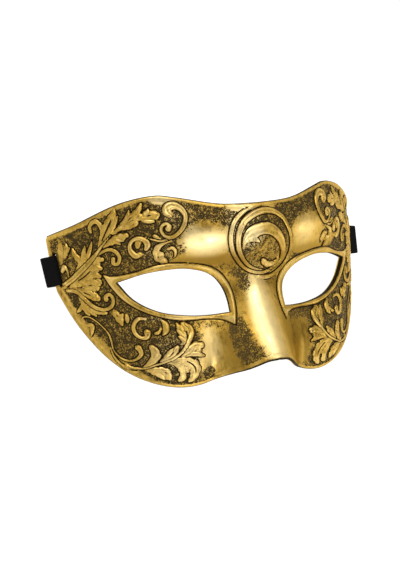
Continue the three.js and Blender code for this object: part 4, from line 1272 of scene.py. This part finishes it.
def strap_loop(name, side):
    """One closed elastic loop through the slot of one temple."""
    centre, outward, normal, along = slot_axes(side)
    line = even_ring(rounded_ring(band_line(outward, normal, side), BEND_SIZE), BAND_STEP)
    ahead = np.roll(line, -1, axis=0) - np.roll(line, 1, axis=0)
    ahead /= np.linalg.norm(ahead, axis=1)[:, None]
    out = np.stack([ahead[:, 1], -ahead[:, 0]], axis=-1)
    section = band_section()
    flat = line[:, None, :] + out[:, None, :] * section[None, :, 1, None]
    width = np.broadcast_to(section[None, :, 0, None], flat.shape[:2] + (1,))
    places = centre + flat[..., :1] * outward + flat[..., 1:] * normal + width * along
    rows, columns = flat.shape[:2]
    i, j = np.meshgrid(np.arange(rows), np.arange(columns), indexing="ij")
    next_i, next_j = (i + 1) % rows, (j + 1) % columns
    row, next_row = i * columns, next_i * columns
    corners = [row + j, next_row + j, next_row + next_j, row + next_j]
    faces = np.stack(corners, axis=-1).reshape(-1, 4)
    if np.dot(np.cross(outward, normal), along) < 0:
        faces = faces[:, ::-1]
    return mesh_object(name, places.reshape(-1, 3), faces)


straps = {
    "right": strap_loop("elastic_band_right", 1),
    "left": strap_loop("elastic_band_left", -1),
}
for name, strap in straps.items():
    print(name, "band corners:", len(strap.data.vertices))

# %% Black elastic
RUBBER_BLACK = (0.003, 0.003, 0.003, 1)
YARN_BLACK = (0.006, 0.006, 0.006, 1)
YARN_SIZE, THREAD_SIZE, WEAVE_DEPTH = 0.5, 0.18, 0.2
YARN_LIMITS = (0.4, 0.62)

black_elastic, tree, shader = new_material("black_elastic_weave")
place = add_node(tree, "ShaderNodeTexCoord").outputs["Object"]
yarn_noise = noise_at(tree, place, YARN_SIZE, 3, 0.6)
thread_noise = noise_at(tree, place, THREAD_SIZE, 2)
yarn_share = soft_step(tree, yarn_noise, *YARN_LIMITS)
yarn_colour = mix_colours(tree, yarn_share, RUBBER_BLACK, YARN_BLACK)
weave_height = calculate(tree, "MULTIPLY_ADD", yarn_noise, 0.6, thread_noise)
weave_inputs = {"Strength": 0.5, "Distance": WEAVE_DEPTH * MM, "Height": weave_height}
weave = add_node(tree, "ShaderNodeBump", weave_inputs)
fill_inputs(tree, shader, {
    "Base Color": yarn_colour,
    "Roughness": 0.85,
    "Specular IOR Level": 0.06,
    "Sheen Weight": 0.01,
    "Sheen Roughness": 0.5,
    "Normal": weave.outputs[0],
})
for name, strap in straps.items():
    strap.data.materials.append(black_elastic)
    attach(strap, "root")
    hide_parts("strap_loop_" + name)
print("nodes in the elastic:", len(tree.nodes))

# %% [markdown]
# ## Floor and light
#
# The photograph is a cut-out on plain white. A pale floor that glows by itself keeps the
# ground white, without a hard shadow. Gold shows what it mirrors, so the light comes from
# seven large soft panels. Those for the brow, the ridge of the nose, the sides and the low
# right cheek stand where these places mirror them towards the camera. A weak one fills in
# from the camera's right, and one stands over the forehead for its upper edge.

# %% A plain pale floor
FLOOR_HALF, FLOOR_LEVEL = 3000, -0.02
FLOOR_GREY, FLOOR_GLOW = (0.25, 0.25, 0.25, 1), 0.95
WHITE = (1, 1, 1, 1)

floor_corners = [(-1, -1), (1, -1), (1, 1), (-1, 1)]
floor_places = np.array([(x * FLOOR_HALF, y * FLOOR_HALF, FLOOR_LEVEL) for x, y in floor_corners])
floor = mesh_object("studio_floor", floor_places, np.array([[0, 1, 2, 3]]))
pale_floor, tree, shader = new_material("pale_floor")
fill_inputs(tree, shader, {
    "Base Color": FLOOR_GREY,
    "Roughness": 0.9,
    "Emission Color": WHITE,
    "Emission Strength": FLOOR_GLOW,
})
floor.data.materials.append(pale_floor)
floor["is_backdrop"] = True
print("floor width in metres:", 2 * FLOOR_HALF * MM)

# %% Soft panels and an even surround
FACE_CENTRE = np.array([0.0, 5.0, 45.0])
PANEL_DISTANCE = 900
SURROUND = 0.27
# Direction from the mask, width and power of each panel.
PANELS = {
    "brow_panel": ((-0.1, -0.92, 0.37), 520, 2.6),
    "ridge_panel": ((0.2, 0.05, 0.97), 560, 2.8),
    "side_panel": ((-0.85, -0.25, 0.45), 450, 0.8),
    "right_panel": ((0.85, 0.3, 0.43), 900, 1.2),
    "low_panel": ((0.87, -0.47, 0.16), 420, 1.25),
    "fill_panel": ((0.28, -0.62, 0.73), 420, 0.9),
    "top_panel": ((-0.42, 0.36, 0.83), 420, 3.2),
}


def soft_panel(name, direction, size, power):
    """A round light that faces the mask from a direction."""
    data = bpy.data.lights.new(name, "AREA")
    data.shape = "DISK"
    data.size = size * MM
    data.energy = power
    panel = bpy.data.objects.new(name, data)
    bpy.context.scene.collection.objects.link(panel)
    way = Vector(direction).normalized()
    panel.location = (Vector(FACE_CENTRE) + way * PANEL_DISTANCE) * MM
    panel.rotation_euler = way.to_track_quat("Z", "Y").to_euler()


for name, (direction, size, power) in PANELS.items():
    soft_panel(name, direction, size, power)
print("panels:", len(PANELS))

world = bpy.data.worlds.new("studio")
bpy.context.scene.world = world
world.use_nodes = True
background = world.node_tree.nodes["Background"]
background.inputs["Color"].default_value = WHITE
background.inputs["Strength"].default_value = SURROUND
bpy.context.scene.view_settings.view_transform = "Standard"

# %% [markdown]
# ## The size of both boxes
#
# The finer shapes may not outgrow the model, so both boxes are printed.

# %% Print both boxes
view_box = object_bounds()
boxes = {"cad": [list(corner) for corner in cad_box], "visual": [list(corner) for corner in view_box]}
for name, (low, high) in boxes.items():
    print(name, "box in mm:", [round((b - a) / MM, 1) for a, b in zip(low, high)])
